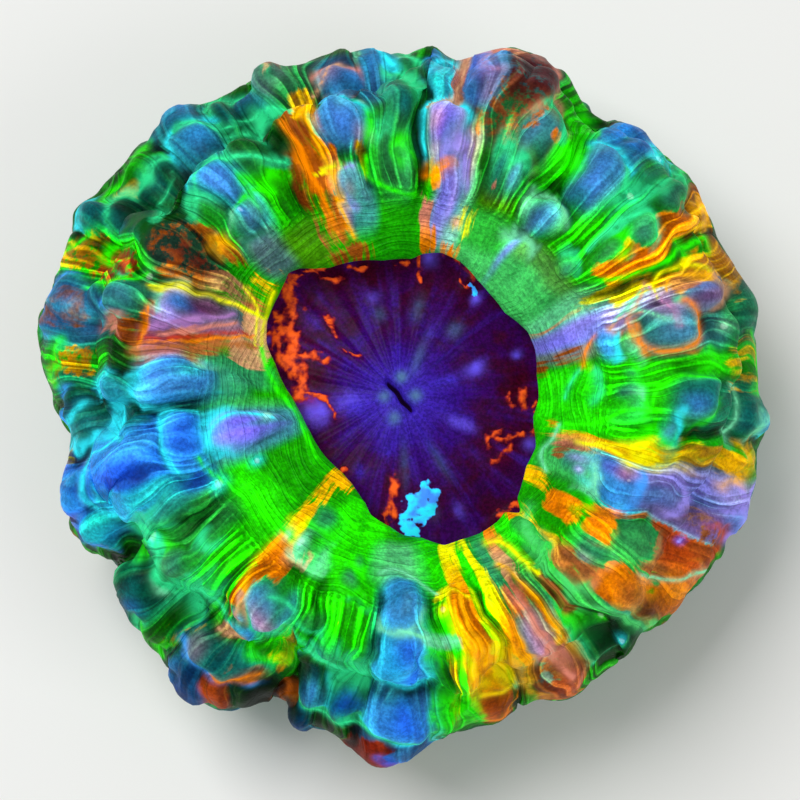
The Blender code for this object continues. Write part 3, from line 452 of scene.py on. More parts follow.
# Bright drawn-out ridges of the skin: colour, width, places along them
ridges = (
    ("lime", 0.8, (86, 28.4), (92, 29), (97, 30.4), (98.5, 31.2), (98.6, 34)),
    ("orange", 0.7, (113.6, 41.6), (112.4, 38), (112.8, 34), (111, 30), (111.6, 25)),
    ("rust", 0.8, (111.4, 42.6), (110.2, 38), (110.6, 33), (109, 28.4), (109.6, 23.6)),
    ("amber", 0.6, (108.8, 40.6), (108, 36.6), (107.4, 31.6), (107.4, 27), (106.6, 23.4)),
    ("yellow", 0.6, (105.6, 33.9), (108, 33.6), (111.4, 33.1)),
    ("tan", 0.6, (101, 47.2), (104, 44.8), (107, 43.3)),
    ("amber", 0.7, (107, 43.3), (109, 41.8), (110.6, 41.4)),
    ("jade", 0.6, (111, 42.4), (113, 43.8), (115.4, 44.8), (120, 44.9), (124, 44.6), (127, 46.4),
     (129.6, 47.5)),
    ("jade", 0.6, (116.5, 36.8), (119, 38), (122, 39.4), (125, 40.5), (128, 41.6), (131, 41.5), (135, 39.9),
     (139, 38.5)), ("lime", 0.7, (122, 33.4), (124.4, 34.8), (126.4, 35.7), (130, 35.6)),
    ("jade", 0.5, (136, 44.6), (140, 43.8), (144, 43.2)),
    ("yellow", 0.6, (150.8, 22.4), (150.6, 26), (151.6, 30), (153, 33.4), (154.6, 36.6), (155.6, 38.6)),
    ("yellow", 0.5, (144.4, 26.4), (146, 24.6), (150, 23.4), (156, 22.4), (160, 21.6)),
    ("clay", 1.3, (160.4, 21.4), (163.4, 25), (166.4, 29.6), (168.6, 34), (169.6, 38)),
    ("brick", 0.9, (158, 23.4), (161.6, 27.4), (165, 32), (167, 36.6)),
    ("salmon", 0.7, (157, 26), (161.6, 29.6), (165, 34.6)),
    ("mauve", 0.8, (154.4, 26.6), (158.6, 29.6), (161.6, 33), (163.4, 36.4)),
    ("orange", 0.6, (157.4, 22.4), (161.6, 25.6), (165.4, 31), (167.6, 36)),
    ("salmon", 1.2, (300, 32), (300.4, 37), (300.2, 41.6), (301.6, 45.6)),
    ("amber", 0.8, (286.4, 27), (286.6, 33), (287.4, 39)),
    ("lime", 0.7, (153, 39.4), (156, 41.2), (158.6, 43.6), (161, 46.4)),
    ("orange", 0.6, (160, 37.4), (164, 36.8), (168.4, 36.8)),
    ("cyan", 0.7, (190, 19), (188, 20), (186.6, 22), (186.4, 24), (188.4, 26), (191, 27.5), (194, 28)),
    ("cyan", 0.5, (184, 28.6), (182.8, 31.6), (183.6, 33.7), (188, 34), (194, 33.6), (199, 33)),
    ("lime", 0.8, (197, 29.8), (202, 28.4), (206, 27), (211, 26), (217, 25.4), (225, 24.6), (229, 24.6)),
    ("lime", 0.5, (203, 23.6), (209, 22.2), (216, 21.4), (224, 20)),
    ("jade", 0.7, (204, 40.4), (208, 40.8), (212, 40.6), (215, 41.6), (219, 40.6), (224, 39), (230, 39)),
    ("cyan", 0.5, (181, 40.2), (185, 39.6), (188.6, 40), (190.6, 42), (193, 43.6)),
    ("amber", 0.8, (228.6, 25.4), (228.4, 28.6), (229, 31.6), (230.6, 35)),
    ("tan", 0.7, (230.6, 35), (231.6, 36.4), (233, 37.6)),
    ("tan", 0.6, (231, 40.9), (234, 40.3), (235.6, 39.2)),
    ("jade", 0.6, (236.6, 33), (240, 32.4), (243, 32.8)),
    ("jade", 0.6, (244, 36), (250, 38.4), (256, 38.6), (262.4, 38.8)),
    ("orange", 0.6, (237, 46.2), (240, 45.2), (243, 43.6)),
    ("rust", 0.6, (246.6, 47.6), (247.6, 44.8), (249, 45), (249.6, 48)),
    ("jade", 0.5, (250, 44.6), (256, 45), (259, 46), (263, 46.4), (270, 46.6), (275, 45.6)),
    ("lime", 0.9, (214, 14.3), (205, 14.3), (196, 14.6), (188, 15.2), (180, 16.2), (170, 18.4), (160, 20.7)),
    ("yellow", 0.6, (160, 20.7), (153, 21.9), (147, 22.4), (140, 22.8)),
    ("yellow", 0.6, (283.6, 27), (283.4, 31), (284.4, 35)),
    ("yellow", 0.6, (289.4, 28), (290.6, 33), (290.4, 38)),
    ("yellow", 0.6, (283, 27.6), (286, 28.4), (289.6, 30)),
    ("yellow", 0.8, (300.6, 23.6), (304.4, 24.2), (306, 26), (307.6, 28.4), (308.8, 31)),
    ("clay", 0.8, (308.8, 31), (309.6, 34), (309.6, 39)),
    ("amber", 0.7, (300, 26.6), (302.6, 29), (303.8, 33), (303.8, 38), (302, 40.6)),
    ("mint", 0.6, (270, 32.4), (275, 33.2), (279, 34.4), (283, 34.6)),
    ("mint", 0.5, (263, 24.6), (269, 24), (275, 25.6), (280, 27.4)),
    ("sea", 1.4, (319, 23.4), (315, 24.6), (311.6, 27.6), (310.8, 31.6), (312.4, 34.4), (311, 37.4),
     (312.4, 40), (315, 42), (315.8, 45.4), (318.6, 47.2)),
    ("mint", 0.6, (323.8, 41), (324.6, 44), (327, 46), (330.4, 48.6)),
    ("mint", 0.5, (334, 29.6), (338, 29.2), (341, 28.2)),
    ("mint", 0.5, (333, 22), (338, 21), (345, 21.6), (350, 22)),
    ("yellow", 0.7, (345.4, 24.6), (346.6, 28), (346.2, 31), (344, 33.4)),
    ("yellow", 0.6, (347.6, 27.6), (348.2, 31), (350.4, 35.4)),
    ("mint", 0.5, (351.4, 46), (354, 45.8), (356, 46.2), (360, 46), (363, 45.4)),
    ("lime", 0.7, (351, 22.8), (352, 26), (355.6, 30), (357, 34)),
    ("lime", 0.7, (358, 34.6), (361.6, 35.4), (363.6, 38.6), (362.6, 42.6)),
    ("jade", 0.5, (0, 22.8), (4, 23.4), (9, 24.8)),
    ("orange", 0.7, (10, 25.4), (12.6, 25.8), (15.6, 27), (17.4, 28.4)),
    ("blush", 0.6, (24.6, 37.9), (22, 38.2), (19.7, 38.8), (16.9, 38.9), (14, 38.9)),
    ("mint", 0.6, (19.6, 31.6), (22.4, 34.4), (24.1, 37.1)),
    ("tan", 0.6, (18, 30.6), (20, 32.6), (19.6, 35.4)),
    ("tan", 0.7, (18, 33), (20.6, 34.2), (22.6, 36), (25.6, 37.6)),
    ("mint", 0.5, (21.6, 33), (20.6, 34.6), (18.6, 36.2), (15.6, 38)),
    ("orange", 0.8, (18.9, 33.3), (15.4, 33.6), (12.3, 34.6), (10.3, 36), (9.5, 37.7), (9.6, 39.4),
     (10.6, 40.8), (12.6, 41.7), (15, 42), (17.6, 41.4)),
    ("yellow", 0.6, (21.6, 38.2), (24.8, 38.6), (26.6, 40.6), (26, 43.6), (23.4, 46.2)),
    ("amber", 0.6, (22, 39.6), (24.4, 40.6), (24.6, 43), (22.6, 45.4)),
    ("lime", 0.8, (32.4, 31), (29.4, 35), (28.4, 39), (28.2, 44), (27.4, 48.6)),
    ("jade", 0.5, (38.8, 33), (38.9, 38), (37.8, 41.6)),
    ("jade", 0.5, (40, 42.8), (42.6, 42.4), (45.4, 43.6)), ("jade", 0.5, (59, 42.6), (61, 44.8), (64, 45.2)),
    ("cyan", 0.5, (84.6, 34), (85.4, 38), (84.4, 41.6), (82, 42.2)),
    ("orange", 0.7, (84, 31), (81, 31.8), (78.6, 32.8)),
    ("tan", 0.6, (84.4, 40.4), (81, 41.6), (79.6, 44), (79, 47.6)),
    ("cyan", 0.6, (91, 46), (93.5, 46.8), (95.5, 47.6)),
)

# Painted light and shade, where the flesh is plainly dimmer or brighter than the rest: bearings, radii, how
# bright
paintedLightAndShade = (
    (206, 262, 42, 54, 0.6),  # the low tier of the lower left lies in shade
    (212, 228, 28, 42, 0.8),
    (286, 297, 41, 49, 0.65),  # hollows between the lobes of the lower right
    (304, 315, 40, 49, 0.7),
    (130, 147, 43, 53, 0.7),  # the dark lobe of the upper left, at its outer edge
    (18, 34, 28, 48, 1.35),  # the yellow wedge of the upper right
    (146, 167, 18, 27, 1.25),  # the lip beside the left lobe
    (72, 86, 22, 31, 1.25),  # the lilac fold at the top
)

# Small spots, each with a painted glint; the pale mint and cyan ones are painted highlights whole: bearing,
# radius, half width, colour
spotsAndGlints = (
    (21, 34.5, 0.8, "mint"), (41.6, 42.6, 0.9, "cyan"), (153.8, 39.3, 0.9, "mint"), (131, 34.5, 0.6, "sky"),
    (205, 28.1, 1, "cyan"), (203.4, 22, 0.7, "cyan"), (209.5, 40.7, 1.2, "cyan"), (230, 24.7, 0.9, "mint"),
    (281, 30, 0.6, "orange"), (312.5, 46.3, 0.7, "cyan"), (333, 43.7, 0.6, "violet"),
    (337.4, 27, 0.5, "lilac"), (339.8, 33.6, 0.5, "ink"), (12.6, 45.4, 0.8, "mint"), (235, 24.7, 1, "mint"),
    (311, 42.6, 0.8, "lime"), (73, 25.5, 0.7, "orange"), (43, 48.4, 0.8, "cyan"), (188.6, 19.6, 0.9, "mint"),
)

# Where the warm pigment comes as round specks instead of streaks: bearings, radii
speckled = (
    (61, 75.5, 38, 52), (327, 338, 40, 50), (150, 160, 40, 52), (168, 178, 42, 49), (139, 151, 29, 43),
    (294, 304, 40, 48),
)


def linear(hexCode):
    # sRGB hex to linear red, green and blue
    parts = [int(hexCode[i:i + 2], 16) / 255.0 for i in (1, 3, 5)]
    return [p / 12.92 if p <= 0.04045 else ((p + 0.055) / 1.055) ** 2.4 for p in parts]


def rise(low, high, value):
    # 0 at low, 1 at high, and an even curve between
    share = np.clip((value - low) / (high - low), 0.0, 1.0)
    return share * share * (3.0 - 2.0 * share)


def blend(first, second, share):
    return first + (second - first) * share


def turnBetween(bearing, other):
    return (bearing - other + 180.0) % 360.0 - 180.0


def pointAt(bearing, radius):
    turn = np.radians(bearing)
    return radius * np.cos(turn), radius * np.sin(turn)


def polarOf(x, y):
    return np.degrees(np.arctan2(y, x)) % 360.0, np.hypot(x, y)


def alongBearing(x, y, bearing):
    # how far points lie out along a bearing, and to the left of it
    turn = math.radians(bearing)
    return x * math.cos(turn) + y * math.sin(turn), y * math.cos(turn) - x * math.sin(turn)


def around(table, bearing):
    # reads a (bearing, value) table all the way round
    bearings = np.array([row[0] for row in table] + [table[0][0] + 360.0])
    values = np.array([row[1] for row in table] + [table[0][1]])
    return np.interp(bearing % 360.0, bearings, values)


def curveThrough(points, spacings):
    # a smooth curve through the points, laid out again at the spacing asked for at each height
    points = [np.array(p, float) for p in points]
    dense = []
    for i in range(len(points) - 1):
        before, start = points[max(i - 1, 0)], points[i]
        end, after = points[i + 1], points[min(i + 2, len(points) - 1)]
        for t in np.arange(0.0, 1.0, 0.02):
            dense.append(0.5 * (
                2.0 * start + (end - before) * t
                + (2.0 * before - 5.0 * start + 4.0 * end - after) * t * t
                + (3.0 * start - before - 3.0 * end + after) * t * t * t
            ))
    dense.append(points[-1])
    dense = np.array(dense)
    steps = np.hypot(*np.diff(dense, axis=0).T) / spacings(dense[1:])
    along = np.concatenate([[0.0], np.cumsum(steps)])
    marks = np.linspace(0.0, along[-1], int(round(along[-1])) + 1)
    return np.stack([np.interp(marks, along, dense[:, k]) for k in (0, 1)], axis=1)


def spinPiece(name, section, meridians):
    # spins a section about the axis, and says where each vertex is and on which ring
    sheet = bmesh.new()
    ringOf = sheet.verts.layers.int.new("ring")
    row = []
    for ring, (radius, height) in enumerate(section):
        vertex = sheet.verts.new((radius, 0.0, height))
        vertex[ringOf] = ring
        row.append(vertex)
    edges = [sheet.edges.new(pair) for pair in zip(row, row[1:])]
    bmesh.ops.spin(sheet, geom=row + edges, cent=(0, 0, 0), axis=(0, 0, 1),
                   angle=2.0 * math.pi, steps=meridians, use_merge=True)
    bmesh.ops.remove_doubles(sheet, verts=sheet.verts, dist=0.001)
    bmesh.ops.recalc_face_normals(sheet, faces=sheet.faces)
    places = np.array([vertex.co[:] for vertex in sheet.verts])
    rings = np.array([vertex[ringOf] for vertex in sheet.verts])
    data = bpy.data.meshes.new(name)
    sheet.to_mesh(data)
    sheet.free()
    return data, places, rings


def finishPiece(data, places, fields):
    # moves the vertices to their places and lays on them the fields that the materials read
    data.vertices.foreach_set("co", (places * 0.001).ravel())
    for name, kind, values in fields:
        if kind == "FLOAT_COLOR":
            values = np.hstack([values, np.ones((len(values), 1))])
        layer = data.attributes.new(name, kind, "POINT")
        part = {"FLOAT": "value", "FLOAT_COLOR": "color", "FLOAT_VECTOR": "vector"}[kind]
        layer.data.foreach_set(part, values.ravel())
    data.shade_smooth()
    data.update()
    piece = bpy.data.objects.new(data.name, data)
    bpy.context.scene.collection.objects.link(piece)
    return piece


def unit(field):
    return field / (np.linalg.norm(field, axis=0) + 1e-9)


def gridNormals(place):
    roundIt = np.roll(place, -1, 2) - np.roll(place, 1, 2)
    return unit(np.cross(np.gradient(place, axis=1), roundIt, axis=0))


def soften(field, reach):
    # box blur over the grid of rings and meridians
    for axis in (0, 1):
        total = np.zeros_like(field)
        for shift in range(-reach, reach + 1):
            if axis:
                total += np.roll(field, shift, 1)
            else:
                total += field[np.clip(np.arange(field.shape[0]) + shift, 0, field.shape[0] - 1)]
        field = total / (2 * reach + 1)
    return field


def ringBlur(values, reach):
    wrapped = np.concatenate([values[-reach:], values, values[:reach]])
    return np.convolve(wrapped, np.full(2 * reach + 1, 1.0 / (2 * reach + 1)), "valid")


def grain(place, size, offset):
    # smooth noise in -1..1 for features about size mm across
    flat = place.reshape(3, -1).T / size + offset
    return np.array([noise.noise(Vector(p)) for p in flat]).reshape(place.shape[1:])


def laidRound(bearing, radius, stretch=1.0):
    # the skin rolled out round a circle, for patterns that follow it out from the mouth
    return np.stack([*pointAt(bearing, polypForm["girth"]), stretch * radius])


def mapOf(place, lipRing):
    # bearing and radius of each grid point as the viewer sees it, unrolled past the outline
    bearing, radius = polarOf(*seenFrom(place))
    rings, meridians = radius.shape
    farthest = radius.argmax(axis=0)
    step = np.linalg.norm(np.diff(place, axis=1), axis=0)
    along = np.concatenate([np.zeros((1, meridians)), np.cumsum(step, axis=0)])
    column = np.arange(meridians)
    ring = np.arange(rings)[:, None]
    past = ring > farthest
    radius = np.where(past, radius[farthest, column] + along - along[farthest, column], radius)
    inside = ring < lipRing
    radius = np.where(inside, radius[lipRing] - 0.01, radius)
    bearing = np.where(inside, bearing[lipRing], bearing)
    bearing = np.where(past, bearing[farthest, column], bearing)
    return bearing, radius


def padField(bearing, radius, pad, squareness=2.4):
    # 0 at a pad's middle, 1 at its edge; its smaller half width; how far across and out along it
    fromBearing, toBearing, fromRadius, toRadius = pad[:4]
    middle = 0.5 * (fromRadius + toRadius)
    halfLength = 0.5 * (toRadius - fromRadius)
    halfWidth = math.radians(0.5 * (toBearing - fromBearing)) * middle
    across = np.radians(turnBetween(bearing, 0.5 * (fromBearing + toBearing))) * middle / halfWidth
    out = (radius - middle) / halfLength
    q = (np.abs(across) ** squareness + np.abs(out) ** squareness) ** (1 / squareness)
    return q, min(halfWidth, halfLength), across, out


def areaField(bearing, radius, area, outside, inside, squareness=2.4):
    # 1 within an area, fading from so many mm inside its edge to so many outside
    q, small = padField(bearing, radius, area, squareness)[:2]
    return rise(-outside, inside, (1.0 - q) * small)


def flankPads():
    rng = np.random.default_rng(polypForm["seed"])
    choices, chances = zip(*flankColours)
    pads = []
    for fromRadius, toRadius, count, lift in flankTiers:
        for i in range(count):
            start = 360.0 * (i + rng.uniform(-0.25, 0.25)) / count
            width = 360.0 / count * rng.uniform(0.85, 1.25)
            low = fromRadius + rng.uniform(-0.8, 0.8)
            crown, side, edge = rng.choice(choices, p=chances)
            pads.append((start, start + width, low, low + toRadius - fromRadius, lift, edge, crown, side))
    return pads


def layPads(bearing, radius, pads):
    # puffs up the vesicles, outermost first so that each overlaps the one outside it: each stands up
    # and hangs over at its far end, and runs back into the skin at the near one
    swell, droop, bend = (np.zeros(bearing.shape) for _ in range(3))
    edge = np.full(bearing.shape, 9.0)
    layers = []
    middleBearing = bearing[bearing.shape[0] // 3]
    for pad in pads:
        width = pad[1] - pad[0]
        away = np.abs(turnBetween(middleBearing, 0.5 * (pad[0] + pad[1])))
        near = np.nonzero(away < 0.9 * width + 9.0)[0]
        q, small, across, out = padField(bearing[:, near], radius[:, near], pad)
        q = np.where(out > 0.0, q, np.abs(across) * (1.0 + 0.25 * np.clip(-out, 0.0, 1.4)))
        fromEdge = (1.0 - q) * small
        tail = rise(-1.25, -0.2, out)
        dome = pad[4] * polypForm["padRise"] * np.clip(1.0 - q * q, 0.0, 1.0) ** 0.6
        dome = dome * tail * (0.7 + 0.3 * rise(-0.6, 0.6, out))
        swell[:, near] = (swell[:, near] ** 3 + dome ** 3) ** (1 / 3)
        droop[:, near] = np.maximum(droop[:, near], dome * rise(-0.3, 0.8, out))
        nearest = np.where(fromEdge > 0.0, fromEdge, np.minimum(edge[:, near], -fromEdge))
        edge[:, near] = np.where(out > -1.2, nearest, edge[:, near])
        bend[:, near] -= 0.35 * across * width * np.exp(-q * q) * tail
        layers.append((near, q, fromEdge, out))
    return swell, polypForm["padDroop"] * droop, edge, bend, layers


def routeField(x, y, routes):
    # distance to the nearest of the drawn routes, over its half width, and that route's number
    nearest = np.full(x.shape, 99.0)
    owner = np.full(x.shape, -1)
    for i, (width, *route) in enumerate(routes):
        points = curveThrough([pointAt(*stop) for stop in route], lambda p: np.full(len(p), 1.0))
        for (ax, ay), (bx, by) in zip(points, points[1:]):
            length = (bx - ax) ** 2 + (by - ay) ** 2 + 1e-9
            t = np.clip(((x - ax) * (bx - ax) + (y - ay) * (by - ay)) / length, 0.0, 1.0)
            away = np.hypot(x - ax - t * (bx - ax), y - ay - t * (by - ay)) / (0.5 * width)
            owner = np.where(away < nearest, i, owner)
            nearest = np.minimum(nearest, away)
    return nearest, owner


def ringShares(section, lipRing):
    # how far each ring follows the outline, the lip and the edge of the upper tier
    radius, height = section.T
    low = height < 0.35 * tall
    rimShare = rise(24.0, 42.0, radius)
    rimShare[: lipRing + 1] = 0.0
    rimShare[low] = 0.45 + 0.55 * rise(0.0, 0.35 * tall, height[low])
    lipShare = 1.0 - rise(19.0, 34.0, radius)
    lipShare[: lipRing + 1] = 1.0
    lipShare[height < 0.45 * tall] = 0.0
    tierShare = np.exp(-(((radius - 42.3) / 4.4) ** 2)) * rise(0.45 * tall, 0.62 * tall, height)
    return rimShare[:, None], lipShare[:, None], tierShare[:, None]


def swellSkin(skin, lipRing):
    # raises vesicles, puffs, folds and ridges over the plain sheet, and keeps where they lie
    base, bearing, radius, waves, fine, puffs, height = (
        skin[key] for key in ("base", "bearing", "radius", "waves", "fine", "puffs", "height"))
    swell, droop, skin["edge"], skin["bend"], skin["layers"] = layPads(
        bearing + 2.0 * waves + 1.4 * fine, radius + 1.2 * waves + 0.7 * fine, skin["pads"])
    skin["away"], skin["line"] = routeField(
        *pointAt(bearing + 0.9 * waves + 0.6 * fine, radius + 0.6 * waves), [row[1:] for row in ridges])
    foldBearings, widths, depths = np.array(folds, float).T
    off = turnBetween((bearing + 3.0 * waves)[..., None], foldBearings) / widths
    core = polypForm["foldCore"] * np.exp(-(off ** 2))
    wings = polypForm["foldWings"] * np.exp(-((off / polypForm["foldSpread"]) ** 2))
    skin["sunk"] = (depths * (core + wings)).sum(axis=-1) * rise(22.0, 34.0, radius)
    onFlesh = rise(20.0, 26.0, radius) * rise(0.0, 0.12 * tall, height)
    aboveCut = rise(0.0, 0.1 * tall, height)
    puffed = polypForm["puffRise"] * puffs * rise(26.5, 31.0, radius)
    lift = np.hypot(swell, puffed) - skin["sunk"] + 0.35 * waves * onFlesh
    lift = (lift + polypForm["ridgeRise"] * np.exp(-(skin["away"] ** 2)) * onFlesh) * aboveCut
    lift[:lipRing] *= 0.2
    skin["lift"] = soften(lift, 1)
    skin["outward"] = unit(np.gradient(base, axis=1))
    droop = soften(droop, 1) * aboveCut
    skin["grown"] = base + gridNormals(base) * skin["lift"] + skin["outward"] * droop


def growMantle():
    spacing, meridians = polypForm["ringSpacing"], polypForm["meridians"]
    section = curveThrough(
        [(r, share * tall) for r, share in fleshSection],
        lambda p: spacing * np.select([p[:, 1] > 0.42 * tall, p[:, 1] > 0.2 * tall], [1.0, 1.7], 3.0),
    )
    section[-1, 1] = 0.0
    plainRadius, height = section[:, :1], np.repeat(section[:, 1:], meridians, axis=1)
    lipRing = int(section[: len(section) // 3, 0].argmin())
    outside = len(section) // 4
    tierRing = outside + int(np.abs(section[outside:, 1] - polypForm["tierHeight"]).argmin())
    rimShare, lipShare, tierShare = ringShares(section, lipRing)
    rimScale, lipScale, tierScale = (np.ones(meridians) for _ in range(3))
    turns = np.arange(meridians) * 360.0 / meridians
    tiered = around(tierShade, turns)
    offStep = (height - polypForm["tierHeight"]) / (0.06 * tall)
    filled = polypForm["stepFill"] * (1.0 - tiered) * np.exp(-(offStep ** 2)) * (plainRadius > 38.0)
    column = np.arange(meridians)
    pads = sorted(list(vesicles) + flankPads(), key=lambda pad: -0.5 * (pad[2] + pad[3]))
    skin = {"height": height, "pads": pads}

    for _ in range(polypForm["passes"]):
        scale = 1.0 + (rimScale - 1.0) * rimShare + (lipScale - 1.0) * lipShare
        scale = scale + (tierScale - 1.0) * tierShare
        base = skin["base"] = np.stack([*pointAt(turns, plainRadius * scale + filled), height])
        bearing, radius = skin["bearing"], skin["radius"] = mapOf(base, lipRing)
        if "waves" not in skin:
            waves = skin["waves"] = grain(base, polypForm["waveSize"], 3.1)
            skin["fine"] = grain(base, polypForm["fineSize"], 8.4)
            skin["puffs"] = np.abs(
                grain(laidRound(bearing + 2.0 * waves, radius, 0.62), polypForm["puffWidth"], 6.6))
        swellSkin(skin, lipRing)
        seenBearing, seenRadius = polarOf(*seenFrom(skin["grown"]))
        farthest = seenRadius.argmax(axis=0)
        wanted = around(outline, seenBearing[farthest, column])
        rimScale = ringBlur(rimScale * wanted / seenRadius[farthest, column], 2)
        lipScale = ringBlur(lipScale * around(opening, seenBearing[lipRing]) / seenRadius[lipRing], 1)
        wanted = around(tierEdge, seenBearing[tierRing])
        tierScale = ringBlur(tierScale * (wanted / seenRadius[tierRing]) ** tiered, 2)
    print("mantle grown", base.shape, "lip ring", lipRing)
    painted = paintSkin(skin)

    underHeight = section[0, 1] - 1.5  # a hidden floor closes the ring under the disc
    closed = np.vstack([[0.0, underHeight], [section[0, 0], underHeight], section, [0.0, 0.0]])
    data, places, rings = spinPiece("mantle", closed, meridians)
    steps = np.round(polarOf(*places.T[:2])[0] / 360.0 * meridians).astype(int) % meridians
    onSkin = (rings >= 2) & (rings < 2 + len(section))
    ring, step = rings[onSkin] - 2, steps[onSkin]
    places[onSkin] = skin["grown"][:, ring, step].T
    underneath = rings == 1
    places[underneath, :2] = skin["grown"][:2, 0, steps[underneath]].T
    places[:, 2] = np.maximum(places[:, 2], 0.0)
    fields = []
    for name, kind, field in painted:
        grid = field.reshape(-1, *base.shape[1:])
        values = np.zeros((len(places), len(grid)))
        values[onSkin] = grid[:, ring, step].T
        fields.append((name, kind, values))
    return finishPiece(data, places, fields)


# Light and shade painted into the skin's colours: light on the steep sides, shade under the tier, in the
# folds and towards the outline and the cut. With them go broad and streaky tone that varies at random, and
# how far the drawn lines fade.
skinLight = {
    "plain": 0.88,
    "steep": (0.6, 1.0, 0.8),  # painted light: red, green and blue that the steep sides gain
    "sinking": (1.35, 0.9, 1.05),  # powers of the shade for each: red sinks fastest in it
    "warmSinking": 0.9,  # and for the warm pigments
    "underTier": 0.85,  # light lost right under the edge of the upper tier
    "inFolds": 0.5,
    "outer": 0.36,  # lost towards the outline
    "flanks": 0.6,  # and towards the cut
    "broadSize": 9.0,  # mm across the broad lighter and darker patches
    "broad": 0.35,
    "streaky": 0.2,
    "linesOnPads": 0.68,  # how far the drawn lines fade on the vesicles
    "linesCalmed": 0.85,
    "linesOnSlope": 0.62,
}

paint = {name: np.array(linear(code))[:, None, None] for name, code in skinColours.items()}


def layPigment(skin, near, name, amount):
    # Cool pigments go on evenly. Warm ones are kept apart, with the share of the ground they cover.
    tint, warm, share = skin["tint"], skin["warm"], skin["share"]
    amount = np.clip(amount, 0.0, 1.0)
    if name in warmPigments:
        covered = np.maximum(share[:, near], amount)
        replaced = amount / (covered + 0.4 * share[:, near] + 1e-6)
        warm[..., near] = blend(warm[..., near], paint[name], replaced)
        share[:, near] = covered
    else:
        tint[..., near] = blend(tint[..., near], paint[name], amount)
        share[:, near] *= 1.0 - amount


def layAreas(skin, areas, squareness):
    # their edges wander with the skin, most of all low on the flanks
    wander = 0.8 + 3.6 * rise(47.0, 53.0, skin["radius"])
    bearing = skin["bearing"] + 1.2 * skin["waves"] + 0.8 * skin["streak"]
    radius = skin["radius"] + wander * skin["waves"] + 0.4 * skin["fine"]
    everywhere = np.arange(bearing.shape[1])
    for area in areas:
        amount = areaField(bearing, radius, area, 0.75, 0.75, squareness) * area[5]
        layPigment(skin, everywhere, area[4], amount)


def layColours(skin):
    # the ground first, then the vesicles from the outermost in, then the flushes over them
    shape = skin["bearing"].shape
    for key, name in (("tint", "leaf"), ("warm", "orange")):
        skin[key] = paint[name] * np.ones(shape)
    skin["share"] = np.zeros(shape)
    layAreas(skin, grounds, 4.5)
    # the painted glow for the vesicles' far edges starts as a brighter copy of the ground
    glow = blend(skin["tint"] * 1.5, paint["jade"], 0.25)
    arc, covered, paintedPadLight = np.zeros(shape), np.zeros(shape), np.ones(shape)
    for pad, (near, q, fromEdge, out) in zip(skin["pads"], skin["layers"]):
        fine, streak = skin["fine"][:, near], skin["streak"][:, near]
        bare = len(pad) == 6
        cover = rise(-0.4, 0.6, fromEdge) * rise(-1.2, -0.1, out + 0.35 * fine)
        if not bare:
            crown = 1.0 - rise(0.3, 1.0, q + 0.3 * fine + 0.25 * streak)
            grained = 0.66 + 0.7 * streak + 0.3 * fine
            outer = cover * rise(-0.95, 0.35, out + 0.6 * streak + 0.35 * fine)
            layPigment(skin, near, pad[7], outer * grained)
            layPigment(skin, near, pad[6], outer * crown * (grained + 0.15))
        # beside its far edge the painted glow takes the vesicle's edge colour
        beside = rise(-1.2, -0.3, fromEdge) * rise(-1.3, -0.9, out)
        # painted light on each vesicle: dimmer at its near end, brighter at its far end
        paintedPadLight[:, near] = blend(paintedPadLight[:, near], 0.72 + 0.5 * rise(-1.0, 0.9, out), cover)
        glow[..., near] = blend(glow[..., near], paint[pad[5]], beside)
        arc[:, near] = blend(arc[:, near], rise(0.0, 0.8, out), beside)
        covered[:, near] = blend(covered[:, near], 0.3 if bare else 0.9, cover)
    layAreas(skin, flushes, 2.4)
    return glow, arc, covered, paintedPadLight


def shadeSkin(skin, paintedPadLight):
    # paints light and shade into the skin's colours: the steep sides of each swelling painted brightest, its
    # crown duller, and painted shade in the creases, under the upper tier and towards the outline and the
    # cut
    bearing, radius = skin["bearing"], skin["radius"]
    normal = gridNormals(skin["grown"])
    broadly = gridNormals(np.stack([soften(part, 7) for part in skin["grown"]]))
    steep = soften(rise(0.02, 0.30, 1.0 - (normal * broadly).sum(axis=0)), 1)
    facing = ((normal - broadly) * skin["outward"]).sum(axis=0)
    steep = steep * (0.25 + 0.95 * soften(rise(-0.05, 0.25, facing), 1))
    under = radius + 1.2 * skin["waves"] - around(tierEdge, bearing)
    shade = rise(0.0, 0.8, under) * rise(3.4, 1.0, under) * around(tierShade, bearing)
    folded = np.clip(skin["sunk"] / 2.6, 0.0, 1.0)
    shading = paintedPadLight * (1.0 - skinLight["underTier"] * np.clip(shade, 0.0, 1.0))
    shading = shading * (1.0 - skinLight["inFolds"] * folded ** 1.5)
    broad = grain(skin["grown"], skinLight["broadSize"], 1.3)
    shading = shading * (1.0 + skinLight["broad"] * broad + skinLight["streaky"] * skin["streak"])
    shading = shading * (1.0 - skinLight["outer"] * rise(37.0, 49.0, radius))
    for area in paintedLightAndShade:
        shading = shading * (1.0 + (area[4] - 1.0) * areaField(bearing, radius, area, 1.6, 1.2))
    low = rise(0.42, 0.1, skin["height"] / tall)
    shading = np.clip(shading * (1.0 - skinLight["flanks"] * low), 0.02, 2.0)
    sinking, gained = (np.array(skinLight[key])[:, None, None] for key in ("sinking", "steep"))
    lit = skinLight["plain"] + steep * gained
    return skin["tint"] * shading ** sinking * lit, skin["warm"] * shading ** skinLight["warmSinking"] * lit


